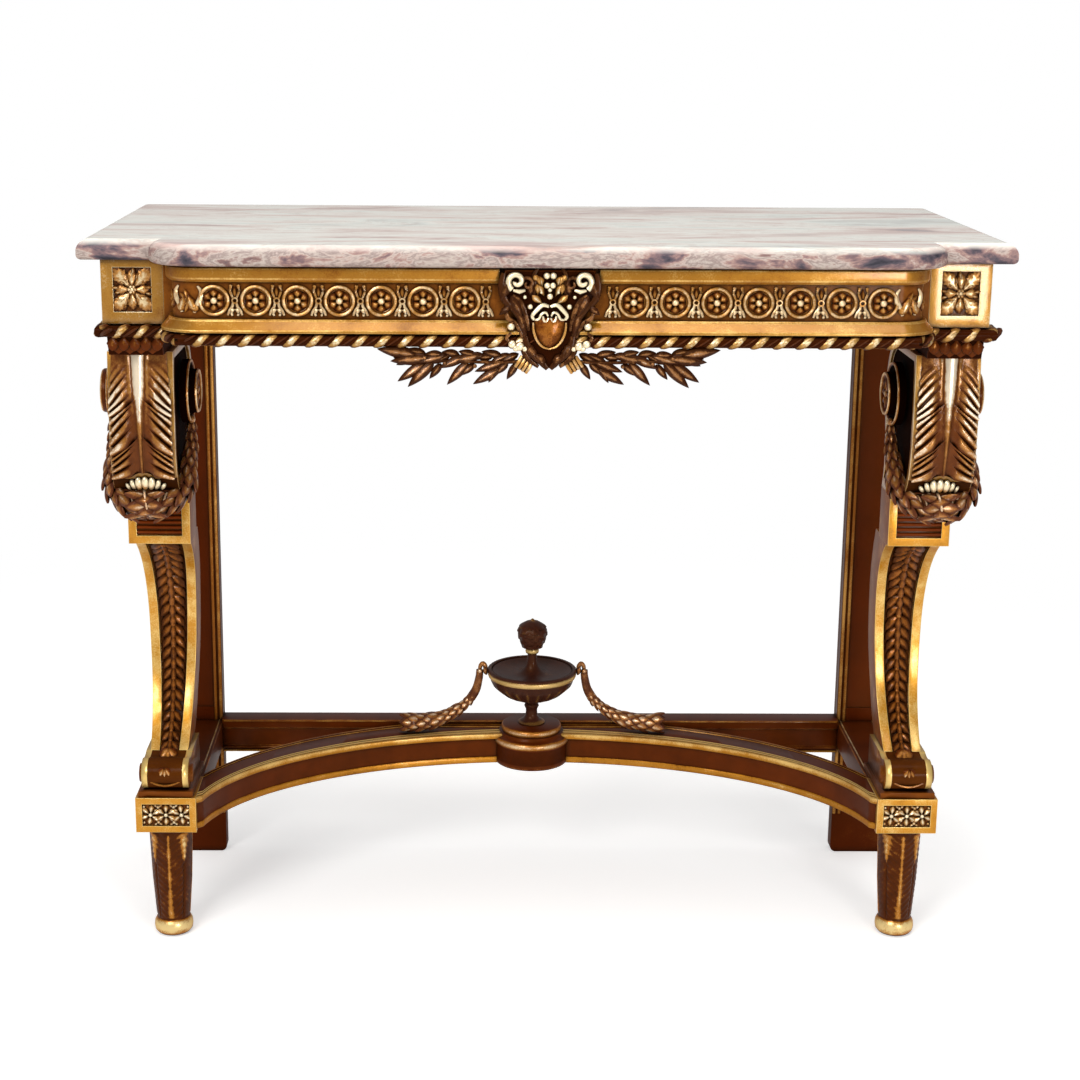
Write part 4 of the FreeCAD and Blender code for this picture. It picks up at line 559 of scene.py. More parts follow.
# Each fat strand is painted brightest along its middle as a highlight and darker towards its ends;
# the thin strand is painted darker as shade in the groove.
fat = (fat[0] * (1.0, 0.62, 1.42), fat[1], fat[2] * (1.12 - 0.75 * (fat[0][:, 2] / 9.6) ** 2))
thin = (thin[0] * (1, 0.26, 1.6), thin[1], thin[2] - 0.22)
twist = [placed(fat, (-0.8, 0, 0), (1, 0, 0), lean_way),
         placed(thin, (1.0, 0, 13.3), (1, 0, 0), lean_way)]
# The rope follows the rail, which is rounded about this point at each front corner, in mm.
round_x, round_y, rope_round, rope_z = 397.0, -203.0, 40.6, 825.2
front_pitch, corner_pitch = 26.4, 24.6
mirror = (-1, 1, 1)
arc = np.linspace(0, math.pi / 2, 14)[:, None]
bend = np.array([(round_x, round_y)]) + rope_round * np.hstack([np.sin(arc), -np.cos(arc)])
front_line = np.concatenate([[(34.0, -243.6)], bend, [(437.6, -193.0)]])
front_line = np.column_stack([front_line, np.full(len(front_line), rope_z)])
corner_line = np.array([(446, -183.1, rope_z), (512, -183.1, rope_z), (519.6, -178, rope_z),
                        (519.6, -100, rope_z), (519.6, 231, rope_z)])
for name, lines, pitch, node in (
        ("front_twist", [front_line[::-1] * mirror, front_line], front_pitch, "front_rope"),
        ("right_twist", [corner_line], corner_pitch, "right_corner_rope"),
        ("left_twist", [corner_line[::-1] * mirror], corner_pitch, "left_corner_rope")):
    strung(name + "_strands", twist, lines, pitch, carved_rope, instead_of=(node,))
    # The core under the strands is painted towards black as shade.
    piece(name + "_core", [rod(eased(p, 60), 6.6, 10, -0.7) for p in lines], carved_gilt)


# --------------------------------------------------------------------- frieze ornament
# Fourteen rings, each round a flower with a bead, are carved on the rail and linked by
# small knots with a trefoil above and three drooping leaves below.
def closed(face, back, rub_and_painted_light):
    """Join a carved face and its back, two equal grids of points, into one skin."""
    rows, cols = face.shape[:2]
    n = rows * cols
    grid = np.arange(n).reshape(rows, cols)
    quads = np.stack([grid[:-1, :-1], grid[:-1, 1:], grid[1:, 1:], grid[1:, :-1]],
                     -1).reshape(-1, 4)
    rim = np.concatenate([grid[0, :], grid[1:, -1], grid[-1, -2::-1], grid[-2:0:-1, 0]])
    after = np.roll(rim, -1)
    walls = np.stack([rim, after, after + n, rim + n], -1)
    tone = np.concatenate([np.broadcast_to(rub_and_painted_light, (rows, cols)).ravel(),
                           np.broadcast_to(rub_and_painted_light, (rows, cols)).ravel() * 0.3])
    return (np.concatenate([face.reshape(-1, 3), back.reshape(-1, 3)]),
            np.concatenate([quads, quads[:, ::-1] + n, walls]).tolist(), tone)


def leaf(tall, wide, rise=2.5, rib=0.8, curl=0.0, lobes=0, flute=0.8, full=0.42, n=9, m=7,
         dark=0.05, light=0.75):
    """A carved leaf with a midrib; lobes gives it a serrated edge and slanting flutes."""
    thick = 1.0
    u, v = np.linspace(0.004, 0.996, n)[:, None], np.linspace(-1, 1, m)[None, :]
    half = wide / 2 * np.sin(math.pi * u ** (math.log(0.5) / math.log(full))) ** 0.8
    flutes = np.zeros((n, m))
    if lobes:
        half = half * (0.70 + 0.30 * ((u * lobes) % 1.0) ** 0.7)
        flutes = flute * np.abs(v) * np.abs(np.sin(math.pi * (lobes * u - 0.9 * np.abs(v))))
    swell = rise * (1 - np.abs(v) ** 2.4) * np.sin(math.pi * np.clip(u * 0.9 + 0.08, 0, 1)) ** 0.6
    height = swell + flutes + rib * np.exp(-(v / 0.22) ** 2) * (1 - 0.7 * u)
    bend = curl * u ** 2.2 + 0 * v
    face = np.stack(np.broadcast_arrays(thick + height + bend, half * v, tall * u), -1)
    back = np.stack(np.broadcast_arrays(bend, half * v, tall * u), -1)
    top_height = max(height.max(), 1e-6)
    return closed(face, back, dark + (light - dark) * (height / top_height) ** 1.5)


def petal(form, a, rise, reach, centre=(0, 0)):
    """Set a leaf in a flower that looks along X, at an angle a round its centre."""
    y, z = math.cos(a), math.sin(a)
    return placed(form, (rise, centre[0] + reach * y, centre[1] + reach * z), (1, 0, 0), (0, y, z))


def mirrored(parts):
    """The mirror images of parts in the middle plane of the table."""
    return [(np.asarray(p[0]) * mirror, p[1], p[2]) for p in parts]


def both(parts):
    """The parts on the right and their mirror images on the left, as one piece."""
    return list(parts) + mirrored(parts)


def ring_form():
    """A hoop 32 mm wide with a thin ring inside it, six petals and a bead."""
    a = np.linspace(0, 2 * math.pi, 41)
    hoop = np.stack([0 * a + 1.7, 15.9 * np.cos(a), 15.9 * np.sin(a)], -1)
    inner = np.stack([0 * a + 0.8, 12.9 * np.cos(a), 12.9 * np.sin(a)], -1)
    leaflet = leaf(10.2, 10.4, 3.0, 0.7, curl=0.8, n=8, m=7, full=0.64, dark=-0.15, light=0.85)
    return ([hoop_rod(hoop, 2.2, 0.92), hoop_rod(inner, 1.0, 0.4)]
            + [petal(leaflet, k * math.pi / 3, 0.2, 2.4) for k in range(6)]
            + [placed(bead(4.2, 0.8, 1.25), (2.9, 0, 0), (1, 0, 0))])


def hoop_rod(points, radius, tone, sides=8):
    """A closed ring of round section that looks out along X."""
    points = points[:-1]
    centre = points.mean(0)
    away = (points - centre) / np.linalg.norm(points - centre, axis=1)[:, None]
    a = np.linspace(0, 2 * math.pi, sides + 1)[:-1]
    p = points[:, None] + radius * (away[:, None] * np.cos(a)[None, :, None]
                                    + np.array((1.0, 0, 0)) * np.sin(a)[None, :, None])
    n = len(points)
    grid = np.arange(n * sides).reshape(n, sides)
    east, north = np.roll(grid, -1, 1), np.roll(grid, -1, 0)
    quads = np.stack([grid, east, np.roll(east, -1, 0), north], -1).reshape(-1, 4)
    light = tone * (0.35 + 0.65 * np.clip(np.sin(a), 0, 1))[None, :] + np.zeros((n, 1))
    return p.reshape(-1, 3), quads.tolist(), light.ravel()


def link_form():
    """A knot between two rings; along a run its Y points down, so up is -Y here."""
    a = np.linspace(0, 2 * math.pi, 17)
    eye = np.stack([0 * a + 1.8, 3.0 * np.cos(a), 3.0 * np.sin(a)], -1)
    parts = [hoop_rod(eye, 1.3, 0.95, 6),
             placed(leaf(12, 5.4, 1.8, 0.6, n=6, m=5, light=0.7), (0.3, -4, 0), (1, 0, 0),
                    (0, -1, 0))]
    for side in (-1, 1):
        for path, thick, tone in ((((-17.5, 3.4), (-12, 5.2), (-7, 3.8), (-2.5, 1.9)), 1.5, 0.8),
                                  (((2.5, 1.9), (7, 3.0), (11, 6.0), (16.6, 8.2)), 1.7, 1.0),
                                  (((9.5, 0.9), (11.5, 2.4), (13.6, 4.2), (17.2, 3.0)), 1.6, 1.25)):
            bend = eased([(1.7, y, z * side) for y, z in path], 9)
            parts.append(rod(bend, thick * (0.6 + 0.4 * np.sin(np.linspace(0.6, 2.8, 9))), 6, tone))
        parts.append(placed(bead(2.5, 0.8, 1.3, 6, 8), (2.0, 10.6, 2.9 * side), (1, 0, 0)))
        parts.append(placed(bead(1.9, 0.8, 0.8, 6, 8), (1.6, -16.6, 4.6 * side), (1, 0, 0)))
    return parts


frieze_y, frieze_z = -236.0, 869.2
ring_pitch, first_ring, first_link, rings_a_side = 47.2, 95.4, 71.8, 7
right_rings, right_links = ([(start + ring_pitch * k, frieze_y - 0.2, frieze_z)
                             for k in range(rings_a_side)] for start in (first_ring, first_link))
# The leaf on the frieze is browner than on the mouldings round it, with dark hollows.
ring_gilt = gilding("glazed_gilding_on_frieze", gilt=0.04, patch=10, leaf="#ad7630", pale="#f2d6a8",
                    glaze="#2c0f04", warm="#7a3d10", hollow=5, varnish=0.45)
for name, form, right, node in (("frieze_rings", ring_form(), right_rings, ("frieze_carvings",)),
                                ("frieze_links", link_form(), right_links, ())):
    left = [(-x, y, z) for x, y, z in reversed(right)]
    strung(name, form, [left, right], ring_pitch, ring_gilt, instead_of=node)


def at_corner(turn):
    """Outward and sideways directions at an angle round the rail's rounded corner."""
    return (np.array((math.sin(turn), -math.cos(turn), 0)),
            np.array((math.cos(turn), math.sin(turn), 0)))


def corner_palmette():
    """A fan of leaves that fills the rounded end of the frieze."""
    parts = []
    for base, ways in ((0.42, (-62, -34, 0, 34, 62)), (1.05, (-40, 0, 40))):
        for way in ways:
            a = math.radians(way)
            out, side = at_corner(base)
            at = (round_x + 33.2 * out[0] - 5 * side[0], round_y + 33.2 * out[1] - 5 * side[1],
                  frieze_z - 1)
            along = side * math.cos(a) + np.array((0, 0, 1)) * math.sin(a)
            parts.append(placed(leaf(17, 7, 2.2, 0.6, curl=-2.5, n=8, m=5, light=0.8), at, out,
                                along))
    return parts


def horned_end():
    """Two leaves that curl up and out like horns, between the last ring and the corner."""
    parts, horn = [], ((-1, -14), (2, -6), (6.5, 2), (7.5, 10), (3.5, 16))
    for base, hand in ((0.10, -1), (0.62, 1)):
        out, side = at_corner(base)
        foot = np.array((round_x, round_y, frieze_z)) + 33.4 * out
        bend = [foot + side * hand * a + (0, 0, b) for a, b in horn]
        parts.append(rod(eased(bend, 16), 2.9 * np.sin(np.linspace(0.5, 2.9, 16)) + 0.4, 8, 1.1))
        parts.append(placed(bead(5.2, 0.6, 0.8), foot + (0, 0, -8) + 0.8 * out, out))
        parts.append(placed(leaf(21, 11, 2.8, 0.8, lobes=3, n=12, m=7, light=1.15),
                            foot + (0, 0, -13), out, -side * hand * 0.4 + (0, 0, 1)))
    return parts


piece("frieze_end_leaves", both(corner_palmette() + horned_end()), ring_gilt)


# --------------------------------------------------------------------- corner rosettes
# A square leafy flower is carved in the sunk panel of each corner block, on the front
# and on the outer side: four lobed leaves on the diagonals and four between them.
leg_x, panel_z = 480, 873.3     # the middle of a corner block, and of the leg under it


def rosette():
    """The flower in the panel's own frame; the small inner leaves stand a little wild."""
    parts, rng = [], np.random.default_rng(5)
    for k in range(4):
        a = math.radians(45 + 90 * k)
        parts.append(placed(leaf(31, 19, 2.4, 0.9, curl=0.5, lobes=4, flute=1.5, full=0.62, n=24,
                                 m=11, dark=0.0, light=1.15),
                            (0.1, 2 * math.cos(a), 2.4 * math.sin(a)), (1, 0, 0),
                            (0, math.cos(a) * 0.88, math.sin(a))))
        long = 22 if k % 2 else 18
        parts.append(petal(leaf(long, 13, 2.6, 0.8, lobes=3, flute=1.1, n=16, m=9, full=0.6,
                                dark=-0.05, light=0.95), math.radians(90 * k), 0.5, 2))
    for k in range(16):
        a = math.radians(11 + 22.5 * k) + 0.12 * rng.standard_normal()
        reach = 8 + 7 * rng.random()
        parts.append(petal(leaf(9 + 3 * rng.random(), 5, 2.0, 0.7, curl=1.0, n=7, m=5, full=0.6,
                                light=1.1), a, 0.9, reach))
    for k in range(6):
        a = k * math.pi / 3
        parts.append(placed(bead(2.3, 0.9, 0.9), (2.6, 3.6 * math.cos(a), 3.6 * math.sin(a)),
                            (1, 0, 0)))
    parts.append(placed(bead(2.8, 0.9, 1.2), (2.9, 0, 0), (1, 0, 0)))
    return parts


# Worn leaf with pale tips over a dark red-brown glaze.
flower_gilt = gilding("glazed_gilding_on_flowers", gilt=0.09, leaf="#b07a3a", pale="#f0d6a6",
                      patch=9, glaze="#32140a", warm="#6b3a18", hollow=4, shine=0.32, varnish=0.5)
rosettes = [placed(p, (leg_x, -176.0, panel_z)) for p in rosette()]
rosettes += [placed(p, (512.4, -143.5, panel_z), (1, 0, 0)) for p in rosette()]
piece("corner_flowers", both(rosettes), flower_gilt, instead_of=("corner_rosettes",))


# ------------------------------------------------------------------------- cartouche
# One carving in high relief, glued over the middle of the frieze: a plain shield in a
# raised rim, two volutes at the top, pearls, and leaves that curl round its sides.
def volute(x, z, radius, turns, wire, start, tone=1.0):
    """A scroll of wire that winds inwards and rises 3 mm off the ground."""
    t = np.linspace(0, 1, 46)
    a = start + t * turns * 2 * math.pi
    r = radius * (1 - 0.80 * t)
    p = np.stack([x + r * np.cos(a), -250.0 - 3.0 * t, z + r * np.sin(a)], -1)
    return rod(p, wire * (1 - 0.42 * t), 10, tone)


def arch(points, radius, tone, y, count=26, flat=1.0):
    """A bent sprig through (x, z) points on the ground, thick in its middle."""
    p = eased([(x, y, z) for x, z in points], count)
    t = np.linspace(0, 1, count)
    return rod(p, radius * (0.45 + 0.55 * np.sin(math.pi * (0.12 + 0.8 * t))), 8, tone, flat)


def laid(form, at, degrees, size=1.0):
    """Set a leaf on a face that looks forward, turned by degrees from the right-hand way."""
    a = math.radians(degrees)
    return placed(form, at, (0, -1, 0), (math.cos(a), 0, math.sin(a)), size)


# On the scrollwork the leaf is burnished and pale; the leaves round it are nearly black in
# their hollows, a dark glaze deepened with painted shade, with worn red-gold ridges.
bright_gilt = gilding("burnished_leaf_on_carving", gilt=0.26, leaf="#c9924a", pale="#f8e6bf",
                      patch=11, glaze="#4b2308", warm="#83501c", hollow=7, shine=0.30, varnish=0.5)
laurel_gilt = gilding("glazed_laurel", gilt=-0.08, patch=9, leaf="#a06c3c", pale="#f7e2c6",
                      glaze="#140501", warm="#46200e", hollow=11, soft=0.22, varnish=0.5)
bright, brown = [], []
bright.append(volute(37.5, 894, 10.2, 1.15, 3.9, math.radians(-60)))
bright.append(rod([(28, -250, 884), (34, -251.5, 882.5), (41, -251, 884)], [1.6, 2.8, 1.6], 8, 0.9))
brown.append(volute(25.0, 891, 8.0, 1.1, 2.4, math.radians(20), tone=0.45))
for x, z, r in ((3.6, 900.4, 3.9), (9.5, 882.0, 2.0), (22.0, 865.6, 3.1), (28.0, 876.4, 2.2),
                (43.4, 843.0, 4.4)):
    bright.append(placed(bead(r, 0.85, 1.15), (x, -252.5 + r * 0.2, z)))
for at, way, long in (((6.0, -249.5, 877), 62, 16), ((7.5, -249.5, 868), 40, 17),
                      ((8.5, -249.5, 888), 76, 12)):
    bright.append(laid(leaf(long, 8, 2.6, 0.8, curl=2.0, n=8, m=5, full=0.6, light=0.85), at, way))
for points, radius, tone, y, count in (
        (((1, 866), (8, 867.5), (14, 862.5), (19.5, 855.5), (17.5, 851)), 2.6, 1.2, -252.5, 26),
        (((17.5, 851), (12.5, 851.5), (9.0, 857.5), (4.5, 859), (1.8, 855)), 1.7, 1.0, -251.5, 26),
        (((1.0, 853), (3.5, 848.5), (6.5, 850.5), (7.5, 855.0)), 1.8, 1.0, -252.0, 26),
        (((18.6, 848), (17.8, 838), (14.2, 828), (8.0, 820.8), (0, 817.8)), 1.5, 0.55, -253.2, 34)):
    bright.append(arch(points, radius, tone, y, count))
for x, z, r in ((33.5, 820.6, 5.2), (42.0, 823.0, 4.6), (27.6, 817.6, 3.0), (37.8, 818.4, 3.6)):
    bright.append(placed(bead(r, 0.6, 1.15), (x, -251.8, z), (0, -1, 0.1), (0.3, 0, 1)))
bright.append(placed(bead(3.6, 0.8, 1.2), (3.2, -252.8, 889.6)))
for x, z, way, long in ((10.5, 889, 18, 12), (13.5, 879, 4, 13), (12.5, 894, 40, 9)):
    a = math.radians(way)
    bright.append(placed(leaf(long, 7.5, 2.8, 0.8, curl=1.0, n=9, m=7, full=0.6, light=0.6),
                         (x, -250.5, z), (0, -1, 0), (math.sin(a), 0, math.cos(a))))
# Four flutes under each side end the carving like a cuff, on a dark base.
cuff_lean = 0.55
cuff_way = np.array((math.sin(cuff_lean), 0, -math.cos(cuff_lean)))
cuff_side = np.array((math.cos(cuff_lean), 0, math.sin(cuff_lean)))
for k in range(4):
    centre = np.array((24.5, -247.0, 805.5)) + cuff_side * (k - 1.5) * 4.6
    bright.append(rod([centre, centre + cuff_way * 7 + (0, -2.2, 0), centre + cuff_way * 14.5],
                      [1.8, 2.2, 1.9], 8, 0.55))
    if k:
        low = centre - cuff_side * 2.3 + (0, 1.6, 0)
        bright.append(rod([low, low + cuff_way * 7 + (0, -2.2, 0), low + cuff_way * 14.0],
                          [1.9, 2.3, 2.0], 8, -0.1))
for points, r, tone in (
        (((52, 903), (54.5, 888), (51, 874), (44, 866), (36, 861)), 4.4, 0.25),
        (((49, 872), (40, 862), (33, 853), (29, 842), (27.5, 828)), 4.2, 0.35),
        (((50, 864), (47, 853), (38, 846), (33, 838), (30.5, 830)), 3.0, 0.5),
        (((42, 878), (34, 872), (29, 862), (25.5, 850), (23.5, 838)), 3.4, 0.45),
        (((27, 832), (25, 822), (19, 812), (9, 803), (1.5, 795)), 5.0, 0.3),
        (((30, 828), (29, 816), (24, 807), (16, 800), (12, 797)), 3.4, 0.4),
        (((14, 908), (18, 900), (17, 888), (19, 876)), 3.0, 0.3),
        (((43, 836), (48, 830), (44, 824)), 2.4, 0.5)):
    brown.append(arch(points, r, tone, -249.2, 24, 0.85))
for at, way, long, wide in (((46, -249, 896), -70, 26, 13), ((44, -249, 878), -118, 28, 12),
                            ((34, -249, 858), -106, 26, 11), ((26, -249, 824), -122, 26, 12),
                            ((12, -249, 812), -112, 18, 11), ((45, -249, 866), -40, 15, 9),
                            ((22, -249, 878), 96, 18, 9), ((40, -249, 850), -60, 14, 8)):
    brown.append(laid(leaf(long, wide, 3.0, 1.0, curl=1.2, lobes=3, flute=1.0, n=14, m=7,
                           light=0.55), at, way))
pearls = [placed(bead(r, 0.8, 1.2), (0, -252.8, z)) for z, r in ((884.6, 2.6), (877.4, 3.6))]
piece("cartouche_scrollwork", both(bright) + pearls, bright_gilt,
      instead_of=("cartouche_volutes", "cartouche_beads"))
piece("cartouche_leaves", both(brown), laurel_gilt)
# The ground between the carvings is painted nearly black as shade.
planed("cartouche_ground", brown_glaze, lambda c, n: -0.75, edge=2.0, rub=0.1)


def domed_shield():
    """The plain shield: flat at the top, round below, and domed 5 mm."""
    u, v = np.linspace(0, 1, 17)[:, None], np.linspace(-1, 1, 15)[None, :]
    half = 16.8 * np.sqrt(np.clip(1 - (np.clip(u - 0.12, 0, 1) / 0.885) ** 2.2, 0.003, 1))
    z = 851 - 32.5 * u + 2.0 * (1 - v ** 2) * (1 - u)
    y = -250.2 - 5.0 * (1 - v ** 2) * np.sin(math.pi * (0.12 + 0.8 * u)) ** 0.7
    face = np.stack(np.broadcast_arrays(half * v, y, z), -1)
    back = np.stack(np.broadcast_arrays(half * v, -248.5 + 0 * y, z), -1)
    return closed(face, back, 0.34 + 0.3 * (1 - v ** 2) * np.sin(math.pi * u))


# The shield keeps an even brown glaze with a dull red-gold glow on its dome.
shield_glaze = gilding("glazed_shield", gilt=-0.02, leaf="#a3621f", pale="#e8b872", glaze="#3a1404",
                       warm="#6f3308", patch=12)
piece("domed_shield", [domed_shield()], shield_glaze, instead_of=("cartouche_shield",))


# ----------------------------------------------------------------------- laurel sprays
# Two laurel branches spread from under the cartouche. Each is one carving, pierced
# between the leaves, and is glued under the rope.
def pair(name, parts, material, node=None):
    """A carving on the right and its mirror image on the left, as two pieces."""
    for side, hand in (("right", parts), ("left", mirrored(parts))):
        piece(side + "_" + name, hand, material, instead_of=(side + "_" + node,) if node else ())


def laurel():
    """The right-hand branch: big leaves, small leaves at random, leaves at its root, berries."""
    parts = []
    stem = eased([(30, -243, 802), (62, -244, 801), (104, -244, 802), (146, -243, 803),
                  (176, -242, 806)], 40)
    parts.append(rod(stem, np.linspace(2.4, 1.2, 40), 7, 0.4))
    for share, below, way, size in ((0.27, 15.5, -19, 0.9), (0.285, 23, -30, 0.95),
                                    (0.40, 8, -12, 0.95), (0.474, 15.5, -47, 0.95),
                                    (0.49, 9, -24, 0.9), (0.60, 8, -14, 1.0), (0.68, 15, -45, 1.1),
                                    (0.73, 17, -34, 1.0), (0.70, 11, -5, 1.2), (0.78, 8, 9, 1.2)):
        parts.append(laid(leaf(38, 12.0, 2.8, 1.3, curl=1.5, n=14, m=9, full=0.38, dark=-0.25,
                               light=0.95), (192 * share, -242.5, 817 - below), way, size))
    rng = np.random.default_rng(11)
    for k in range(13):
        way = -30 + 44 * rng.random()
        parts.append(laid(leaf(20 + 6 * rng.random(), 9.5, 2.2, 1.1, curl=1.0, n=10, m=7,
                               dark=-0.25, light=0.85),
                          (34 + 9.6 * k, -240.5 - 2 * rng.random(), 811 - 5 * rng.random()), way))
    for x, z, way in ((36, 800, -58), (46, 801, -42), (58, 797, -62), (84, 799, -38),
                      (122, 799, -52)):
        parts.append(laid(leaf(22, 9, 2.4, 1.2, curl=1.5, n=10, m=7, full=0.38, dark=-0.25,
                               light=0.85), (x, -241.5, z), way))
    for x, z in ((84, 797), (118, 800), (141, 806)):
        parts.append(placed(bead(2.6, 1, 0.7), (x, -246, z)))
    return parts


pair("laurel", laurel(), laurel_gilt, "laurel_spray")


# ------------------------------------------------------------------------ leaf collars
# Between each corner block and its scroll a short neck is carved with a row of drooping
# water leaves. It stands under the rope and is glued to both.
water_leaf = leaf(22.5, 15.0, 2.6, 1.0, curl=2.5, lobes=3, flute=0.9, full=0.66, n=12, m=9,
                  dark=-0.1, light=0.5)
under_leaf = leaf(26, 13, 1.2, 0.6, curl=1.0, full=0.75, n=8, m=5, dark=-0.2, light=0.2)
collar = []
for share in np.linspace(-0.5, 0.5, 5):
    collar.append(placed(water_leaf, (leg_x + 50 * share, -172.5, 823.5), (0, -1, 0.1),
                         (0.12 * share, 0.06, -1)))
for share in np.linspace(-0.38, 0.38, 4):
    collar.append(placed(under_leaf, (leg_x + 52 * share, -172.0, 823), (0, -1, 0.1), (0, 0.1, -1)))
for x, way in ((506.6, 1), (453.4, -1)):
    for y in np.linspace(-166, -42, 10):
        collar.append(placed(water_leaf, (x, y, 823.5), (way, 0, 0.1), (0, 0, -1), 0.95))
pair("neck_leaves", collar, carved_gilt)
# The neck behind the leaves is painted nearly black as shade.
for side in ("left", "right"):
    planed(side + "_leaf_collar", brown_glaze, lambda c, n: -0.75, rub=0.1)


# ------------------------------------------------------------------------ scroll heads
# The head of each leg is a block sawn to a scroll. Its sides are sunk 4 mm inside a
# gilded rim, and a turned eye is set on each side.
def turned(profile, at, sides, way=(0, 0, 1), carve=None):
    """Spin (radius, height, rub and painted light) points round an axis; carve(angle, height) adds
    to both.
    """
    line = np.asarray(profile, float)
    a = np.linspace(0, 2 * math.pi, sides + 1)[None, :-1]
    r, h, tone = (line[:, k:k + 1] + 0 * a for k in range(3))
    if carve:
        more, lighter = carve(a, h)
        r, tone = np.maximum(r + more, 0.5), tone + lighter
    z = np.asarray(way, float) / np.linalg.norm(way)
    x = np.cross((0.0, 1.0, 0.0), z) if abs(z[1]) < 0.9 else np.array((1.0, 0.0, 0.0))
    x /= np.linalg.norm(x)
    p = (np.asarray(at, float) + (r * np.cos(a))[..., None] * x
         + (r * np.sin(a))[..., None] * np.cross(z, x) + h[..., None] * z)
    return p.reshape(-1, 3), round_skin(*r.shape), tone.ravel()


def by_x(x):
    """Distance of a world x from the middle of its leg."""
    return abs(abs(x) - leg_x)


# The gilded rim's inner edge, from the middle of the leg, and the height below which the
# underside is painted black as shade. Inside the rim the sunk sides are painted black as deep
# shade.
rim_inside, head_bottom = 36.5, 640
for side in ("left", "right"):
    planed(side + "_scroll_head", flat_gilt, lambda c, n: (0.5 if by_x(c.x) > rim_inside else -0.9)
           if abs(n.x) > facing else (-0.8 if c.z < head_bottom and n.y < 0.3 else 0.4), edge=0.9)
eyes = []
# On the eye on the inner face of the head the flank is painted black as shade, on the outer face it
# is left lighter; on both the groove round the boss is painted black as shade and the rims pale
# with a painted highlight.
for way in (1, -1):
    at, dark = (leg_x + 38.9 * way, -64.7, 734.6), -1.2 if way < 0 else 0.22
    eyes.append(turned([(39, 0, dark), (39, 3.0, dark), (39, 8.4, dark), (38.9, 8.9, 0.5),
                        (38.4, 10.4, 1.0), (36.8, 11.0, 1.0), (35.4, 10.3, 0.3), (34.4, 8.8, -1.0),
                        (31.5, 7.8, -1.2), (28.4, 8.0, -1.2), (27, 9.4, -1.2), (27, 17.4, dark),
                        (26.9, 18.0, 0.8), (25.8, 19.9, 1.25), (23.2, 19.4, 1.0), (21.6, 17.2, 0.0),
                        (20.4, 15.9, -0.4), (12, 15.2, -0.3), (6, 15.6, 0), (0.6, 16, 0.1)], at, 64,
                       (way, 0, 0)))
    for k in range(8):
        a = k * math.pi / 4
        along = (0, math.cos(a), math.sin(a))
        foot = np.array(at) + (14.9 * way, 3.2 * math.cos(a), 3.2 * math.sin(a))
        eyes.append(placed(leaf(16.5, 10.5, 2.4, 0.9, curl=0.8, full=0.6, n=9, m=7, dark=-0.1,
                                light=0.8), foot, (way, 0, 0), along))
    eyes.append(placed(bead(5.2, 0.7, 1.0, 9, 16), np.array(at) + (16.0 * way, 0, 0), (way, 0, 0)))
piece("leg_eyes", both(eyes), carved_gilt, instead_of=("scroll_eyes",))


# --------------------------------------------------------------------- acanthus leaves
# A big acanthus leaf is carved over the front of each head. Its midrib is broad, rubbed
# to gold and painted pale as a highlight; the lobes fall outwards in threes and leave deep
# pockets beside the rib, which are painted dark as shade.
head_front = eased([(-141.5, 795), (-144.7, 756), (-146.3, 713.1), (-145.5, 678), (-139.9, 650.7),
                    (-128.7, 629.3), (-111.1, 615.6), (-90.3, 611.7)], 300)


def on_front(line, s):
    """Point and outward direction (y, z) at a length s down a front curve."""
    run = np.concatenate([[0], np.cumsum(np.linalg.norm(np.diff(line, axis=0), axis=1))])
    way = np.gradient(line, axis=0)
    way /= np.linalg.norm(way, axis=1)[:, None]
    y, z = np.interp(s, run, line[:, 0]), np.interp(s, run, line[:, 1])
    ty, tz = np.interp(s, run, way[:, 0]), np.interp(s, run, way[:, 1])
    return y, z, tz, -ty


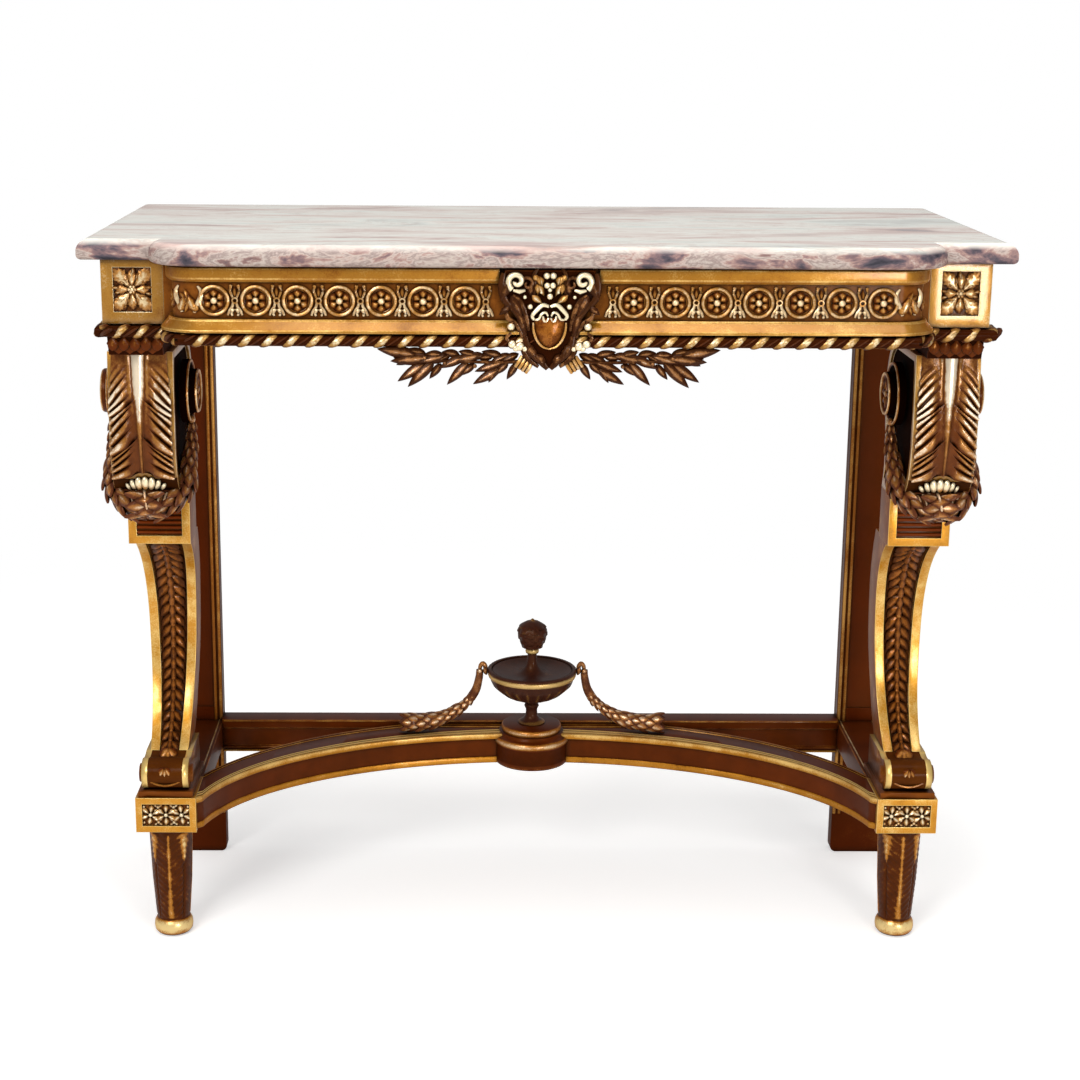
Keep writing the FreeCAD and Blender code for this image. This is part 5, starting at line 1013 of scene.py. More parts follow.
def acanthus():
    """Three lobes a side, one lapped over the next; lengths in mm run down the front."""
    lobe_long, half_wide, centre_x = 48.2, 37.6, 481.2
    rib_share, blade_share = 0.18, 0.82      # how much of the grid goes to the rib
    u, w = np.linspace(0, 2.9999, 217)[:, None], np.linspace(-1, 1, 47)[None, :]
    lobe, q = np.floor(u), u % 1.0
    rib_half = np.interp(48 * u, (0, 12, 34, 62, 100, 144), (10.5, 8.4, 7.0, 4.4, 3.0, 1.8)) / 37
    inside = np.abs(w) < rib_share
    a = np.where(inside, rib_half * np.abs(w) / rib_share, rib_half + (1 - rib_half)
                 * (np.abs(w) - rib_share) / blade_share)
    # The flutes of a lobe fan out: they start close together at the rib.
    s0 = lobe_long * (lobe + q ** (1 + 1.3 * (1 - a)))
    drop = 31 * np.clip(s0 / 34, 0, 1) * (1 - 0.62 * np.clip((s0 - 96) / 48, 0, 1))
    s = s0 + drop * a ** 0.66
    # Fingers: seven in the first lobe and four in the others, with a notch between two.
    finger = (np.where(lobe == 0, 7, 4) * q) % 1.0
    ridge = np.sin(math.pi * finger) ** 0.6
    beside = np.clip((a - rib_half - 0.13) / 0.22, 0, 1)
    vein = np.exp(-((a - rib_half - 0.11) / 0.05) ** 2) * np.clip(1.2 - s0 / 130, 0, 1)
    outer = np.clip((a - 0.30) / 0.4, 0, 1)
    fine = np.clip(s0 / 22 - 0.35, 0, 1)
    notch = np.exp(-(np.minimum(finger, 1 - finger) / 0.17) ** 2) * outer * fine
    lapped = q ** 1.2 * beside
    # A deep pocket lies beside the rib where two lobes meet.
    pocket = (np.exp(-(np.minimum(q, 1 - q) / 0.045) ** 2)
              * np.exp(-((a - rib_half - 0.20) / 0.15) ** 2) * np.clip((s0 - 20) / 10, 0, 1))
    half = half_wide * (0.88 + 0.10 * ridge * fine + 0.02 * lapped)
    rib = np.where(inside, np.sqrt(np.clip(1 - (a / rib_half) ** 2, 0, 1)), 0)
    lift = (2.4 + 3.6 * rib + 1.3 * vein + 3.0 * lapped + 2.4 * ridge * beside * fine - 2.6 * notch
            - 4.0 * pocket - 1.8 * a ** 6)
    # The tip curls away from the block.
    lift += 2.0 * np.clip((s0 - 124) / 20, 0, 1) ** 2
    y, z, ny, nz = on_front(head_front, s)
    x = centre_x + half * a * np.sign(w) + 2.2 * (1 - a) * np.clip(1 - s0 / 150, 0, 1)
    under = 0.2 + 1.5 * np.clip((s0 - 124) / 20, 0, 1) ** 2
    lift = np.maximum(lift, under + 0.2)
    face = np.stack(np.broadcast_arrays(x, y + ny * lift, z + nz * lift), -1)
    back = np.stack(np.broadcast_arrays(x, y + ny * under, z + nz * under), -1)
    # The leaf is painted lighter at the top and darker down its length, as light falls on it; the
    # notches between fingers, the pockets and the strip beside the rib are painted dark as shade.
    painted_light_at_top = np.clip(1 - s0 / 80, 0, 1)
    tone = (0.10 + 0.30 * painted_light_at_top + (0.30 + 0.55 * outer) * ridge * beside * fine
            + 0.22 * lapped + 0.45 * vein
            + 1.25 * rib ** 0.5 * (1 - 0.5 * np.clip((s0 - 30) / 90, 0, 1))
            - 1.0 * notch - 1.2 * pocket - 0.30 * (1 - inside) * (a < rib_half + 0.05)
            - 0.18 * np.clip((s0 - 50) / 50, 0, 1))
    return closed(face, back, tone)


def shell():
    """Seven flutes of a shell that fan out under the leaf's tip; each is painted paler towards its
    tip as a highlight.
    """
    parts = []
    for x, way, wide, tall in ((0, 0, 4.7, 8.6), (7.6, 6, 4.6, 8.4), (-7.6, -6, 4.6, 8.4),
                               (14.6, 20, 3.5, 7.4), (-14.6, -20, 3.5, 7.4), (20.8, 34, 2.8, 5.4),
                               (-20.8, -34, 2.8, 5.4)):
        a = math.radians(way)
        lobe, faces, tone = bead(1.0, 1.0, 1.0, 10, 14)
        parts.append(placed((lobe * (3.6, wide, tall), faces, 0.95 + 0.4 * lobe[:, 2] + 0 * tone),
                            (leg_x + x, -137.6 + 0.014 * x * x, 634.4 - 0.012 * x * x),
                            (0, -1, 0.35), (math.sin(a), -0.2, math.cos(a))))
    return parts


# The acanthus is rubbed to gold on its rib and ridges, pale where a highlight is painted, over a
# brown glaze.
leaf_gilt = gilding("acanthus_gilding", gilt=-0.02, patch=13, leaf="#a56d2e", pale="#f6e3c6",
                    glaze="#3a1609", warm="#743d1a", hollow=6, soft=0.30, shine=0.34, varnish=0.6)
pair("acanthus", [acanthus()], leaf_gilt, "acanthus_leaf")
piece("leg_shells", both(shell()), bright_gilt, instead_of=("scroll_shells",))


# ------------------------------------------------------------------------ leg garlands
# A thick garland of laurel leaves hangs in front of each knee from the two eyes and is
# bound with a ribbon in the middle.
def wreath(rise=0.32, wide=10.0, light=1.0):
    """One turn of six leaves round a garland of 10 mm radius; the leaves point along Z."""
    parts = []
    for k in range(6):
        b = k * math.pi / 3
        radial = np.array((math.cos(b), math.sin(b), 0))
        parts.append(placed(leaf(19, wide, 2.4, 0.8, curl=-0.8, n=8, m=7, dark=-0.1, light=light),
                            5.0 * radial, radial - (0, 0, 0.3), rise * radial + (0, 0, 1)))
    return parts


# Leaves of worn gold with a rosy brown glaze between them.
garland_gilt = gilding("glazed_garland", gilt=0.08, patch=12, leaf="#ab7036", pale="#f2d2ac",
                       glaze="#33130a", warm="#6e3c26", hollow=6, soft=0.28, varnish=0.6)


def hung(points, count):
    """Even points and radii along a hanging garland."""
    line = eased(points, count)
    return line[:, :3], line[:, 3]


# Each half hangs from its eye, as (x from the leg's middle, y, z, radius), to the front.
fall = ((48, -66.7, 695.3, 7), (48, -70.7, 673.3, 9), (46, -84.7, 652, 12), (43, -104.7, 626, 15),
        (22, -122.7, 607.5, 17), (1, -128.5, 607, 17.2))
halves = [hung([(leg_x + x * way, y, z, r) for x, y, z, r in fall], 26) for way in (1, -1)]
for side, hand in (("right", 1), ("left", -1)):
    lines = [p * (hand, 1, 1) for p, r in halves]
    strung(side + "_garland", wreath(), lines, 11.5, garland_gilt, turn=0.52, play=0.06,
           girths=[r / 11.4 for p, r in halves], instead_of=(side + "_leg_garland",))
    core = [rod(p, r * 0.62, 10, -0.2) for p, (_, r) in zip(lines, halves)]
    # The ribbon winds slantwise round the middle of the garland.
    for x0, lean in ((-20, 9), (-13.5, 10), (-7, 10), (2, 8), (13, -9), (20, -9)):
        turns = np.radians(np.linspace(72, -80, 8))
        reach = 17.2 - 0.012 * x0 * x0
        core.append(rod(np.column_stack([hand * leg_x + x0 + lean * np.linspace(-0.5, 0.5, 8),
                                         -128.2 + 0.010 * x0 * x0 - reach * np.cos(turns),
                                         608 + reach * np.sin(turns)]), 1.7, 7, 0.95))
    for way in (1, -1):
        core.append(placed(bead(6.2, 0.8, 0.9), (hand * leg_x + 48 * way, -66.7, 699), (way, 0, 0)))
    piece(side + "_garland_core", core, garland_gilt)


# -------------------------------------------------------------------------------- legs
# Each leg is sawn from one plank to a double curve and planed to a taper. The front is
# sunk between two gilded fillets and a chain of husks is carved down the middle.

# Fillets and bands are burnished: a strong yellow gold over a red-brown ground.
yellow_gilt = gilding("burnished_leaf_on_fillets", gilt=0.30, patch=30, glaze="#5a2507",
                      warm="#8c4a0e", leaf="#cb8a22", pale="#f0cb7a", shine=0.34, varnish=0.5)
shaft_top, fillet_wide = 533, 12.2


def leg_rub_and_shade(c, n):
    """Brown sides; in front two gilded fillets and between them a dark ground, painted part way to
    deep shade.
    """
    if c.z > shaft_top:
        if n.y < -facing:
            return 0.5 if c.y < -41.5 else -0.1
        return -0.05 if abs(n.x) > facing else 0.1
    if abs(n.x) > facing:
        return -0.05
    half = np.interp(c.z, (250, 289.8, 329.5, 377.8, 426, 494.2, 534),
                     (24.5, 26.3, 28.05, 30, 31.3, 34.05, 35.5))
    return 0.62 if by_x(c.x) > half - fillet_wide and n.y < 0 else -0.6


for side in ("left", "right"):
    planed(side + "_leg", yellow_gilt, leg_rub_and_shade, edge=0.9)
# Ribs across the panel over the shaft, 6.4 mm apart, glazed red.
ribs = [rod([(451.8, -39.6, z), (508.2, -39.6, z)], 2.5, 10, 0.22)
        for z in np.arange(549.0, 598, 6.4)]
piece("panel_ribs", both(ribs), gilding("red_glaze_on_ribs", gilt=-0.05, glaze="#481402",
                                        warm="#85360a", leaf="#b5732a", pale="#f3d3a4", patch=30,
                                        hollow=6, varnish=0.2))

# The husks are brown-gold, darker than the fillets beside them.
husk_gilt = gilding("glazed_husks", gilt=-0.06, patch=14, hollow=6, leaf="#96561a", pale="#dda95e",
                    glaze="#2c1106", warm="#5e2f0e")
husk = []
for way, long, wide in ((-36, 22, 11.5), (36, 22, 11.5), (0, 22, 9.5)):
    a = math.radians(way)
    husk.append(placed(leaf(long, wide, 3.2, 1.1, curl=1.2, lobes=2, flute=0.8, full=0.5, n=10, m=7,
                            dark=0.0, light=0.8), (0, 0.3 if way else 1.8, 0), (0, 1, 0),
                       (math.sin(a), 0, math.cos(a))))
husk.append(placed(bead(2.9, 0.8, 0.8, 6, 8), (0, 3.6, 1.5), (0, 1, 0)))
# The sunk front is felt for with a rule, from the top of the shaft down to the ankle.
leg_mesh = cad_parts["right_leg"].data
surface = BVHTree.FromPolygons([v.co for v in leg_mesh.vertices],
                               [tuple(f.vertices) for f in leg_mesh.polygons])
floor_line = []
for z in np.linspace(531, 258, 50):
    met = surface.ray_cast(Vector((0.4805, -0.4, z / 1000)), Vector((0, 1, 0)))[0]
    floor_line.append((met.y * 1000, z))
floor_line = np.array(floor_line)
# Above the deepest point the chain runs backwards, below it forwards, so the lower half
# takes the same husk turned half round.
deepest = int(np.argmax(floor_line[:, 0]))
turned_husk = [(p * (-1, -1, 1), faces, tone) for p, faces, tone in husk]
for name, form, part, node in (("leg_husks", husk, floor_line[:deepest + 1], ("husk_chains",)),
                               ("lower_leg_husks", turned_husk, floor_line[deepest:], ())):
    lines = [np.column_stack([np.full(len(part), x), part[:, 0] - 0.6, part[:, 1]])
             for x in (leg_x, -leg_x)]
    sizes = [np.interp(line[:, 2], (250, 534), (0.84, 1.42)) for line in lines]
    strung(name, form, lines, 14.6, husk_gilt, play=0.06, girths=sizes, instead_of=node)


# ------------------------------------------------------------------ feet of the scrolls
# The shaft ends in a small rolled scroll with two gilded bands and a leaf between them,
# on a thin plate.
plate_top, band_inside, band_outside = 210.5, 22, 29


def foot_rub_and_shade(c, n):
    """Rubbed bands, pale with a painted highlight, on a roll painted dark, part way to deep shade;
    the plate under it keeps its glaze, painted a little darker as shade.
    """
    if c.z < plate_top:
        return -0.35
    if by_x(c.x) > band_outside or abs(n.x) > 0.8:
        return 0.0
    return 1.0 if by_x(c.x) > band_inside else -0.65


def split(node, places):
    """Score a solid's own mesh along planes, so that a band of it can be gilded."""
    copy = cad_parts[node].data.copy()
    work = bmesh.new()
    work.from_mesh(copy)
    for at, normal in places:
        bmesh.ops.bisect_plane(work, geom=work.verts[:] + work.edges[:] + work.faces[:],
                               plane_co=Vector(at) / 1000, plane_no=normal, dist=1e-6)
    work.to_mesh(copy)
    work.free()
    return copy


for side, hand in (("left", -1), ("right", 1)):
    planed(side + "_foot_scroll", yellow_gilt, foot_rub_and_shade, edge=0,
           source=split(side + "_foot_scroll",
                        [((hand * (leg_x + d), 0, 0), (1, 0, 0)) for d in (-22.5, 22.5)]))
scroll_leaves = []
for way, long in ((-30, 21), (30, 21), (0, 25)):
    a = math.radians(way)
    scroll_leaves.append(placed(leaf(long, 15, 2.4, 0.9, curl=-1.0, lobes=3, n=14, m=7, light=0.8),
                                (leg_x, -26, 254.5), (0, -0.75, 0.66),
                                (math.sin(a), -0.66 * math.cos(a), -0.75 * math.cos(a))))
for way, long in ((-24, 19), (24, 19), (0, 22)):
    a = math.radians(way)
    scroll_leaves.append(placed(leaf(long, 10.5, 2.2, 0.9, curl=-0.5, n=10, m=7, dark=-0.1,
                                     light=1.0), (leg_x + 2.5 * math.sin(a), -66.5, 243),
                                (0, -1, 0.12), (math.sin(a), 0.06, -math.cos(a))))
bow = eased([(461, -67.2, 224), (470, -68.4, 220.5), (480, -68.8, 219), (490, -68.4, 220.5),
             (499, -67.2, 224)], 16)
scroll_leaves.append(rod(bow, 1.4, 7, 0.6))
piece("foot_leaves", both(scroll_leaves), carved_gilt)


# ----------------------------------------------------------------------- plinth blocks
# A square block joins leg, arm and side stretcher. Its outer faces are sunk inside a
# gilded border and filled with a carved flower between leaves.
plinth_z, border_front, border_out, border_in = 178.5, -69, 518.5, 441.5


def plinth_relief(c, n):
    """The border stands proud of the sunk faces and is gilded."""
    if n.y < -facing:
        return 0.5 if c.y < border_front else -0.1
    if abs(n.x) > facing:
        return 0.5 if abs(c.x) > border_out or abs(c.x) < border_in else -0.1
    return 0.4


for side in ("left", "right"):
    planed(side + "_plinth_block", yellow_gilt, plinth_relief, edge=1.0)


def plinth_flower():
    """Three flowers in a row, four small ones between them and beads in the corners."""
    parts = []
    for x, size in ((-20, 1.0), (0, 1.05), (20, 1.0)):
        for k in range(6):
            parts.append(petal(leaf(12.5 * size, 7.0, 2.2, 0.8, curl=0.8, full=0.58, n=8, m=5,
                                    dark=0.1, light=1.1), math.radians(30 + 60 * k + 8 * x / 20),
                               0.2, 1.5, (x, 0)))
        parts.append(placed(bead(2.8, 0.9, 1.1), (2.6, x, 0), (1, 0, 0)))
    for x in (-10, 10):
        for z in (-10.5, 10.5):
            parts.append(placed(bead(2.4, 0.8, 0.8), (1.2, x, z), (1, 0, 0)))
            for k in range(4):
                parts.append(petal(leaf(6.5, 4.4, 1.8, 0.5, n=6, m=5, full=0.6, light=1.0),
                                   math.radians(45 + 90 * k), 0.6, 1.0, (x, z * 0.9)))
    for x, z in ((-28.5, 11), (28.5, 11), (-28.5, -11), (28.5, -11)):
        parts.append(placed(bead(2.0, 0.8, 0.7), (1.2, x, z), (1, 0, 0)))
    return parts


flowers = [placed(p, (leg_x, -65.4, plinth_z)) for p in plinth_flower()]
flowers += [placed(p, (514.9, -30.5, plinth_z), (1, 0, 0)) for p in plinth_flower()]
piece("plinth_flowers", both(flowers), bright_gilt, instead_of=("plinth_carvings",))


# ------------------------------------------------------------------------- turned feet
# The front feet are turned, then carved with four long leaves that hang from the top;
# short darts lie between them and a plain gilded ring rounds off the sole.
def foot_carving(a, h):
    """Long leaves with a vein and side ribs, darts between them and a seam below each."""
    w = ((a - math.pi / 2 + math.pi / 4) % (math.pi / 2)) / (math.pi / 4) - 1
    body = np.clip((h - 24) / 3, 0, 1) * np.clip((147 - h) / 3, 0, 1)
    low = np.clip((95 - h) / 70, 0, 1)
    vein = np.exp(-(w / (0.085 + 0.16 * low ** 2)) ** 2) * body
    bone = np.abs(np.sin(math.pi * (h / 8.5 - 1.9 * np.abs(w)))) * (1 - vein) * body
    dart_wide = 0.30 * np.clip((h - 96) / 46, 0.001, 1)
    dart = np.exp(-((1 - np.abs(w)) / dart_wide) ** 2) * np.clip((h - 100) / 10, 0, 1) * body
    seam = np.exp(-((1 - np.abs(w)) / 0.07) ** 2) * body * (1 - np.clip((h - 104) / 8, 0, 1))
    return (1.5 * vein + 1.0 * bone + 1.8 * dart - 1.6 * seam,
            0.85 * vein + 0.26 * bone + 0.80 * dart - 0.3 * seam)


foot_profile = [(29.6, 155, 0.1), (29.6, 150, 0.1), (27.8, 148, 0.0), (27.2, 144, 0.0)]
taper = np.linspace(142, 24, 68)
thickness = np.interp(taper, (24, 77.5, 142), (20.6, 24.6, 27.0))
foot_profile += [(r, z, 0.0) for z, r in zip(taper, thickness)]
foot_profile += [(21.0, 22.6, 0.3), (22.8, 20.5, 0.9), (24.8, 16.5, 1.2), (25.4, 11, 1.2),
                 (24.6, 5.5, 0.9), (21.6, 1.8, 0.5), (18, 0.02, 0.2)]
foot = turned(foot_profile, (leg_x, -30.5, 0), 96, carve=foot_carving)
# Nearly black in the hollows, with old gold only on the leaves and the sole ring.
foot_gilt = gilding("glazed_gilding_on_feet", gilt=0.0, patch=13, hollow=5, leaf="#b9782a",
                    pale="#f6d894", glaze="#260c02", warm="#5c2606")
pair("foot_turned", [foot], foot_gilt, "turned_foot")


# -------------------------------------------------------------------------- back posts
# Two flat posts stand against the wall. Each is sunk in front inside a narrow border,
# glazed red-brown, with a reeded strip along the inner side.

# A closed red-brown glaze with a dull gloss; the wood hardly shows its grain.
post_glaze = gilding("red_brown_glaze", gilt=-0.02, glaze="#370d01", warm="#571a02", leaf="#8c5116",
                     pale="#c8924a", patch=60, shine=0.44, hollow=10, varnish=0.12)
sunk_from, sunk_to, reed_back = 233, 237, 232.0


def post_relief(c, n):
    """The border in front of the sunk face is a little lighter."""
    return 0.02 if n.y < -facing and sunk_from < c.y < sunk_to else 0.20


for side, hand in (("left", -1), ("right", 1)):
    planed(side + "_back_post", post_glaze, post_relief, rub=0.3)
    reeds = [rod([(hand * x, reed_back, 60), (hand * x, reed_back, 812)], 2.4, 8, tone)
             for x, tone in ((443.9, 1.0), (450.9, 0.85))]
    piece(side + "_post_reeds", reeds, post_glaze)


# -------------------------------------------------------------------------- stretchers
# A straight rail ties the posts, a short one runs from each post to its plinth, and two
# curved arms meet in the middle. The arms are moulded in front and grooved on top.
for node in ("back_stretcher", "left_side_stretcher", "right_side_stretcher"):
    planed(node, brown_glaze, lambda c, n: 0.02, edge=1.0, rub=0.5)
# Thin rubbed lips run along the stretchers, as (from, to, radius, rub).
lips = (((2, 217.6, 205.4), (439, 217.6, 205.4), 1.3, 0.15),
        ((2, 218.2, 160.4), (439, 218.2, 160.4), 1.4, 0.5),
        ((446, 8.8, 202.0), (446, 231, 202.0), 1.1, 0.7),
        ((492, 8.8, 202.0), (492, 231, 202.0), 1.1, 0.7))
piece("stretcher_lips", both([rod([a, b], radius, 7, tone) for a, b, radius, tone in lips]),
      flat_gilt)


def arm():
    """Both edges are ellipses about one point behind the table's middle; a moulded section
    runs between them from the boss to the plinth."""
    centre_y, boss_half, plinth_edge, flat_back = -110.5, 30, 441, 217.3
    front_wide, front_deep, back_wide, back_deep, front_end = 440, 286, 474, 352, -67.5
    k = np.linspace(0, 1, 73)[:, None]
    front = math.asin(boss_half / front_wide) + k * (math.acos((front_end - centre_y) / front_deep)
                                                     - math.asin(boss_half / front_wide))
    back = math.asin(boss_half / back_wide) + k * (math.asin(plinth_edge / back_wide)
                                                   - math.asin(boss_half / back_wide))
    f = np.hstack([front_wide * np.sin(front), centre_y + front_deep * np.cos(front)])
    f[-1] = (440.8, front_end)
    b = np.hstack([back_wide * np.sin(back), np.minimum(centre_y + back_deep * np.cos(back),
                                                        flat_back)])
    w = np.linalg.norm(b - f, axis=1)[:, None]
    # (offset, height, rub and painted light): offsets from the front edge in mm, from the back edge
    # where negative. The grooves between the beads are painted black as deep shade and the bead
    # tops pale with a painted highlight.
    section = [(4.4, 158, 0.2), (3.6, 158.8, 0.7), (3.6, 164.5, 0.85), (4.6, 166.6, 0.6),
               (6.4, 167.4, 0.0), (6.8, 173, 0.05), (6.8, 187, 0.08), (6.4, 192.6, 0.0),
               (2.2, 193.4, 0.3), (0.5, 194.8, 0.8), (0.0, 198.5, 1.0), (0.7, 201.2, 1.1),
               (2.6, 202, 1.0), (5.0, 202, 0.8), (5.8, 200.4, -1.2), (7.6, 199.8, -1.2),
               (8.4, 201.8, 1.5), (11.2, 202.3, 1.6), (14.0, 201.8, 1.5), (14.8, 199.8, -1.2),
               (16.8, 199.8, -1.2), (17.6, 201.6, 1.3), (19.6, 202.2, 1.5), (21.6, 201.6, 1.3),
               (22.4, 200.2, -1.0), (23.6, 201.0, 0.0), (-16.0, 201.6, 0.24), (-14.4, 200.8, -0.1),
               (-13.4, 202.2, 0.9), (-11.6, 202.2, 1.0), (-10.8, 200.6, -0.2), (-6.4, 200.6, -0.1),
               (-5.4, 202, 0.5), (-1.4, 202, 0.7), (-0.3, 201, 0.6), (-0.3, 160, 0.05),
               (-1.4, 158, 0.05)]
    d, z, tone = (np.array(column)[None, :] for column in zip(*section))
    share = np.where(d >= 0, d / w, 1 + d / w)
    x = f[:, :1] + (b[:, :1] - f[:, :1]) * share
    y = f[:, 1:] + (b[:, 1:] - f[:, 1:]) * share
    points = np.stack(np.broadcast_arrays(x, y, z), -1)
    return points.reshape(-1, 3), round_skin(*x.shape), (tone + 0 * x).ravel()


# As the rails, with more yellow leaf left on the beads and grooves.
arm_glaze = gilding("brown_glaze_on_arms", gilt=-0.05, glaze="#330e01", warm="#662805",
                    leaf="#b8791f", pale="#eec474", patch=40, shine=0.36, hollow=8, varnish=0.25)
pair("arm", [arm()], arm_glaze, "stretcher_arm")


# ----------------------------------------------------------------------- boss and urn
# The arms meet in a round drum. A covered urn, turned in four parts and bronzed dark,
# is pegged on it: bowl, lid and cone, with two bent handles let into the rim.

# Bronzing over limewood: dark chocolate with a satin gloss, brassy where it is rubbed.
urn_finish = gilding("bronzed_lime_wood", gilt=0.0, glaze="#24100d", warm="#4a2418", leaf="#8d6430",
                     pale="#dcb873", patch=30, shine=0.36, hollow=6)
urn_axis, drum_back, drum_flat_below = (0, 194, 0), 217.3, 206.9
# The body of the drum between its two rings is painted part way to deep shade; the rings are pale
# with a painted highlight.
drum = turned([(50.5, 158, 0.0), (52, 160.5, 0.5), (52, 163, 0.0), (51.4, 165, -0.55),
               (51.4, 186, -0.5), (52, 188, 0.4), (53, 190, 0.9), (53.2, 192.5, 1.1),
               (52.6, 195, 0.9), (50.6, 197, 0.4), (48, 198, 0.0), (46.2, 199.6, -0.1),
               (45, 203, 0.0), (41.6, 203.6, 0.3), (41.4, 205, 0.7), (42.4, 207, 1.0),
               (42.2, 209.6, 0.9), (41, 211.4, 0.6), (38.6, 212.9, 0.1), (1, 213, 0.05)],
              urn_axis, 96)
# The back of the drum is flat where the back stretcher passes it.
cut = drum[0].copy()
cut[:, 1] = np.where(cut[:, 2] < drum_flat_below, np.minimum(cut[:, 1], drum_back), cut[:, 1])
piece("boss_drum", [(cut, drum[1], drum[2])], brown_glaze, instead_of=("stretcher_boss",))


def gadroons(a, h):
    """Twenty-two gadroons round the lower half of the bowl."""
    part = np.clip((h - 248) / 6, 0, 1) * np.clip((278 - h) / 8, 0, 1)
    wave = np.abs(np.cos(11 * a))
    return part * (2.4 * wave ** 0.7 - 1.6), part * (0.65 * wave ** 3 - 0.15)


bowl_profile = [(19, 213, 0.1), (19, 214.6, 0.5), (17.6, 215.8, 0.6), (11.6, 219, 0.1),
                (8.6, 224, 0.05), (8.0, 230, 0.1), (8.2, 234, 0.0), (9.4, 236, 0.1),
                (10.4, 238.2, 0.2), (9.6, 240.6, 0.1), (8.6, 242, 0.1), (10.4, 244.6, 0.1),
                (12.6, 246.4, 0.1)]
bowl_profile += [(r, z, 0.08) for r, z in eased([(14, 247), (22, 248.6), (38.4, 256), (54.4, 270),
                                                 (60.0, 281)], 30)]
bowl_profile += [(60.4, 281.6, 0.4), (61.4, 282.6, 1.1), (62.3, 285.2, 1.3), (62.2, 287.6, 1.2),
                 (61.4, 289.2, 0.8), (61.6, 289.8, 0.1), (62.5, 290.2, 0.0), (62.5, 291.8, 0.1),
                 (61.4, 292.8, 0.1), (58.0, 293, 0.3), (57, 292, 0.0), (57, 283, 0.0),
                 (1.0, 282.6, 0.0)]


def lid_flutes(a, h):
    """Flutes that are only rubbed, not cut, on the flat of the lid."""
    return 0 * a + 0 * h, 0.12 * np.abs(np.cos(12 * a)) * np.clip((291 - h) / 3, 0, 1)


lid_profile = [(56.4, 283, 0.1), (56.4, 290.6, 0.0), (54.6, 291.4, 0.1), (50, 289.7, 0.1),
               (45.4, 288.2, 0.05), (38, 287, 0.1), (28.4, 286.2, 0.08), (20.6, 286.9, 0.2),
               (17, 288.4, 0.2), (13.6, 291, 0.15), (11, 294.2, 0.2), (8.8, 298, 0.15),
               (7.4, 303, 0.15), (6.6, 310, 0.2), (6.4, 315.9, 0.2)]


def scales(a, h):
    """Scales of the cone, in rows 5.8 mm high, each row half a scale round."""
    part = np.clip((h - 326) / 3, 0, 1) * np.clip((360 - h) / 4, 0, 1)
    row = (h - 325) / 5.8
    across = np.abs(((7 * a / math.pi + np.floor(row)) % 2) - 1)
    plate = np.clip(1 - across ** 2 * 0.9 - (row % 1.0) * 0.55, 0, 1)
    return part * (1.9 * plate - 0.8), part * (0.42 * plate ** 2 - 0.1)


cone_profile = [(8.6, 316.1, 0.4), (9.4, 317.4, 1.1), (9.6, 319.5, 1.3), (9.2, 321.6, 1.1),
                (8.8, 323.0, 0.2), (12.6, 324.0, 0.0), (14.6, 324.8, 0.1)]
cone_profile += [(r, z, 0.08) for r, z in eased([(15.2, 328), (18.6, 336), (20.8, 347),
                                                 (17.6, 356.0), (9.4, 361.6)], 44)]
cone_profile += [(6.0, 362.6, 0.2), (3.0, 363.4, 0.4), (2.4, 364.8, 0.5), (1.0, 365.9, 0.6)]
for name, profile, sides, carve, node in (("urn_body", bowl_profile, 132, gadroons, "urn_bowl"),
                                          ("urn_cover", lid_profile, 96, lid_flutes, "urn_lid"),
                                          ("urn_cone", cone_profile, 112, scales, "urn_finial")):
    piece(name, [turned(profile, urn_axis, sides, carve=carve)], urn_finish,
          (node,))
loop = eased([(62.9, 194, 285), (65.3, 194, 286.5), (65.3, 194, 291), (66.3, 194, 297),
              (69.3, 194, 300), (72.5, 194, 296.5), (73.6, 194, 290)], 36)
handle = [rod(loop, 2.6 + 0.7 * np.sin(np.linspace(0, math.pi, 36)), 12, 0.55),
          placed(leaf(12, 7, 2.2, 0.8, n=8, m=5, light=0.9), (64.6, 190.8, 285), (0.2, -1, 0),
                 (0.2, 0, 1)), placed(bead(3.6, 0.9, 0.9), (73.4, 190.4, 290), (0.2, -1, 0))]
piece("urn_loops", both(handle), garland_gilt, ("urn_handles",))


# ------------------------------------------------------------------------ urn garlands
# From each handle a garland of leaves and small flowers falls to the arm and lies along
# it. It grows thicker towards its end.
swag, swag_radius = hung([(73.7, 194, 290.7, 5.1), (74.5, 194, 279, 5.7), (80, 194, 259, 6.9),
                          (95, 194, 239.3, 9), (122, 190, 223.3, 12), (149.6, 184, 217.3, 14.2),
                          (166, 182, 217.0, 14.6)], 44)
# The leaves start where the garland is wide enough; a core fills it out to its end.
leaves_from, end_x, end_y, end_z = 11, 166, 180.5, 217.0
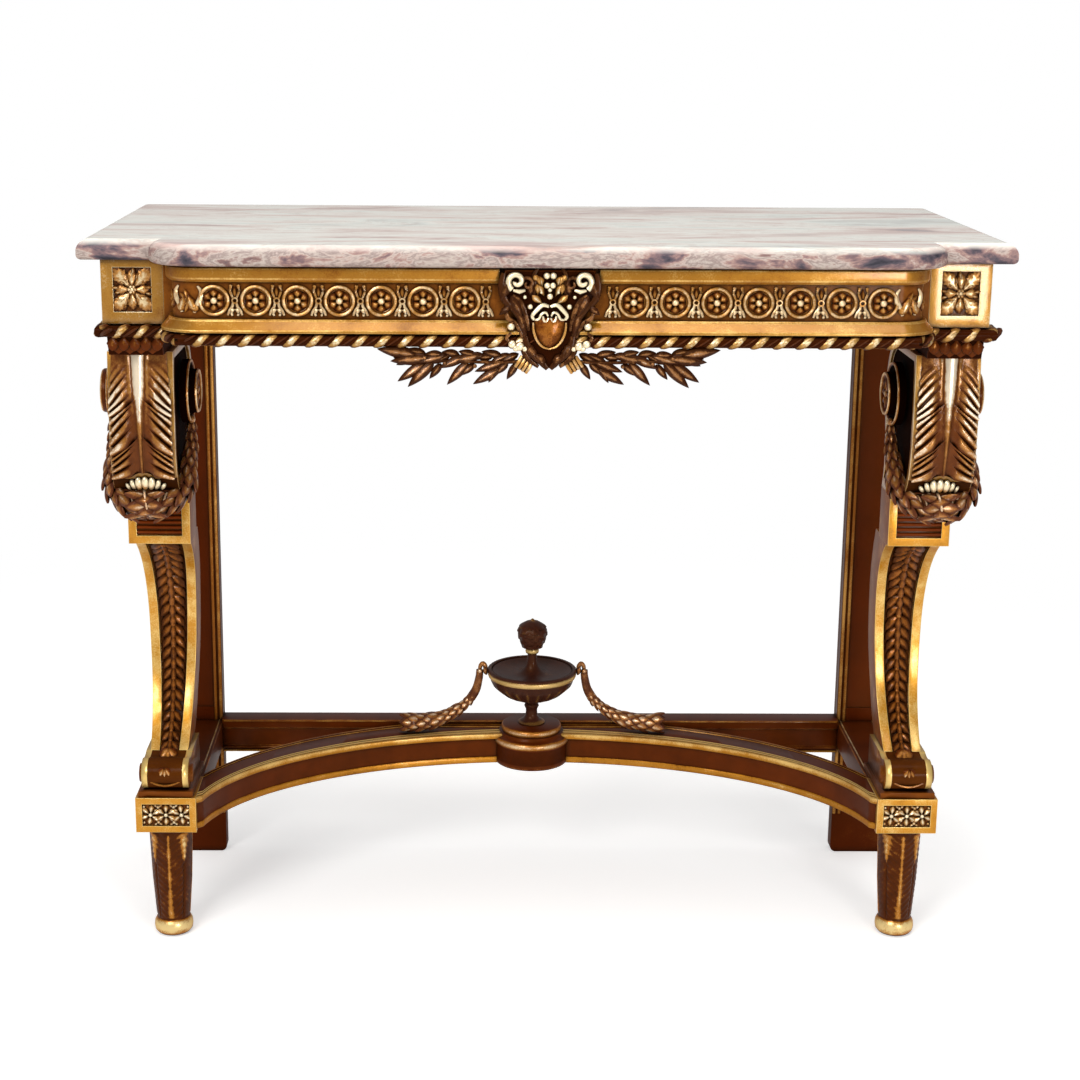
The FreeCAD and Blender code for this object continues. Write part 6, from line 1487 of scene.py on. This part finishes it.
# Two rings of petals close it, as (length, width, height, curl, rows, columns, place,
# shift round the end, lean).
end_petals = ((13.5, 9.5, 3.2, 2.0, 8, 7, end_x, 0.0, 0.35),
              (8.5, 6.5, 2.4, 1.5, 7, 5, end_x + 2, 0.35, 0.8))
for side, hand in (("right", 1), ("left", -1)):
    strung(side + "_swag", wreath(0.34, 13.0, 1.15), [swag[leaves_from:] * (hand, 1, 1)], 9.0,
           garland_gilt, turn=0.6, play=0.10, seed=20 + hand,
           girths=[swag_radius[leaves_from:] / 12.6], instead_of=(side + "_urn_garland",))
    end = [rod(swag * (hand, 1, 1),
               swag_radius * np.interp(np.arange(44), (0, 12, 20), (0.98, 0.92, 0.62)), 12, 0.3)]
    for k in range(9):
        a = 2 * math.pi * k / 9
        for long, wide, rise, curl, n, m, x, shift, lean in end_petals:
            end.append(placed(leaf(long, wide, rise, 0.6, curl=curl, n=n, m=m, full=0.6, light=1.2),
                              (hand * x, end_y, end_z),
                              (hand, -lean * math.cos(a), -lean * math.sin(a)),
                              (lean * hand, math.cos(a + shift), math.sin(a + shift))))
    end.append(placed(bead(4.2, 1.0, 1.2), (hand * (end_x + 5), end_y, end_z), (hand, 0, 0)))
    piece(side + "_swag_end", end, garland_gilt)


# ------------------------------------------------------------------------ hidden joints
# A bearer under the slab, glue blocks in the back corners, dowels and screws hold the
# frame. They are bare beech and plain steel.
def bare_beech():
    # Planed beech, pale pink-brown and matt; its grain is drawn 10 mm wide, so that it shows.
    material, tree = new_material("planed_beech")
    place = put(tree, "ShaderNodeTexCoord")
    laid = put(tree, "ShaderNodeMapping", {"Vector": place.outputs["Object"],
                                           "Scale": (90, 12, 90)})
    grain = put(tree, "ShaderNodeTexNoise", {"Vector": laid.outputs[0], "Scale": 1.4, "Detail": 5.0,
                                             "Roughness": 0.6})
    wood = put(tree, "ShaderNodeValToRGB", {"Fac": grain.outputs["Fac"]}, stops=(
        (0.35, "#a77c50"), (0.52, "#bd9466"), (0.7, "#cda97c")))
    bump = put(tree, "ShaderNodeBump", {"Height": grain.outputs["Fac"], "Strength": 0.3,
                                        "Distance": 0.0003})
    shader = put(tree, "ShaderNodeBsdfPrincipled",
                 {"Base Color": wood.outputs["Color"], "Roughness": 0.62,
                  "Normal": bump.outputs[0]})
    put(tree, "ShaderNodeOutputMaterial", {"Surface": shader.outputs[0]})
    return material


def drawn_steel():
    # Drawn steel wire, grey with a broken gloss; its drawing lines show as 1 mm grit.
    material, tree = new_material("drawn_steel")
    place = put(tree, "ShaderNodeTexCoord")
    grit = put(tree, "ShaderNodeTexNoise", {"Vector": place.outputs["Object"], "Scale": 900.0,
                                            "Detail": 2.0})
    rough = put(tree, "ShaderNodeMapRange", {"Value": grit.outputs["Fac"], "To Min": 0.32,
                                             "To Max": 0.5})
    shader = put(tree, "ShaderNodeBsdfPrincipled",
                 {"Base Color": linear("#8f9092"), "Metallic": 1.0,
                  "Roughness": rough.outputs["Result"]})
    put(tree, "ShaderNodeOutputMaterial", {"Surface": shader.outputs[0]})
    return material


beech, steel = bare_beech(), drawn_steel()
for node, finish in (("centre_bearer", beech), ("corner_glue_blocks", beech),
                     ("joint_dowels", beech), ("glue_block_screws", steel)):
    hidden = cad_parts[node]
    hidden.data.materials.clear()
    hidden.data.materials.append(finish)
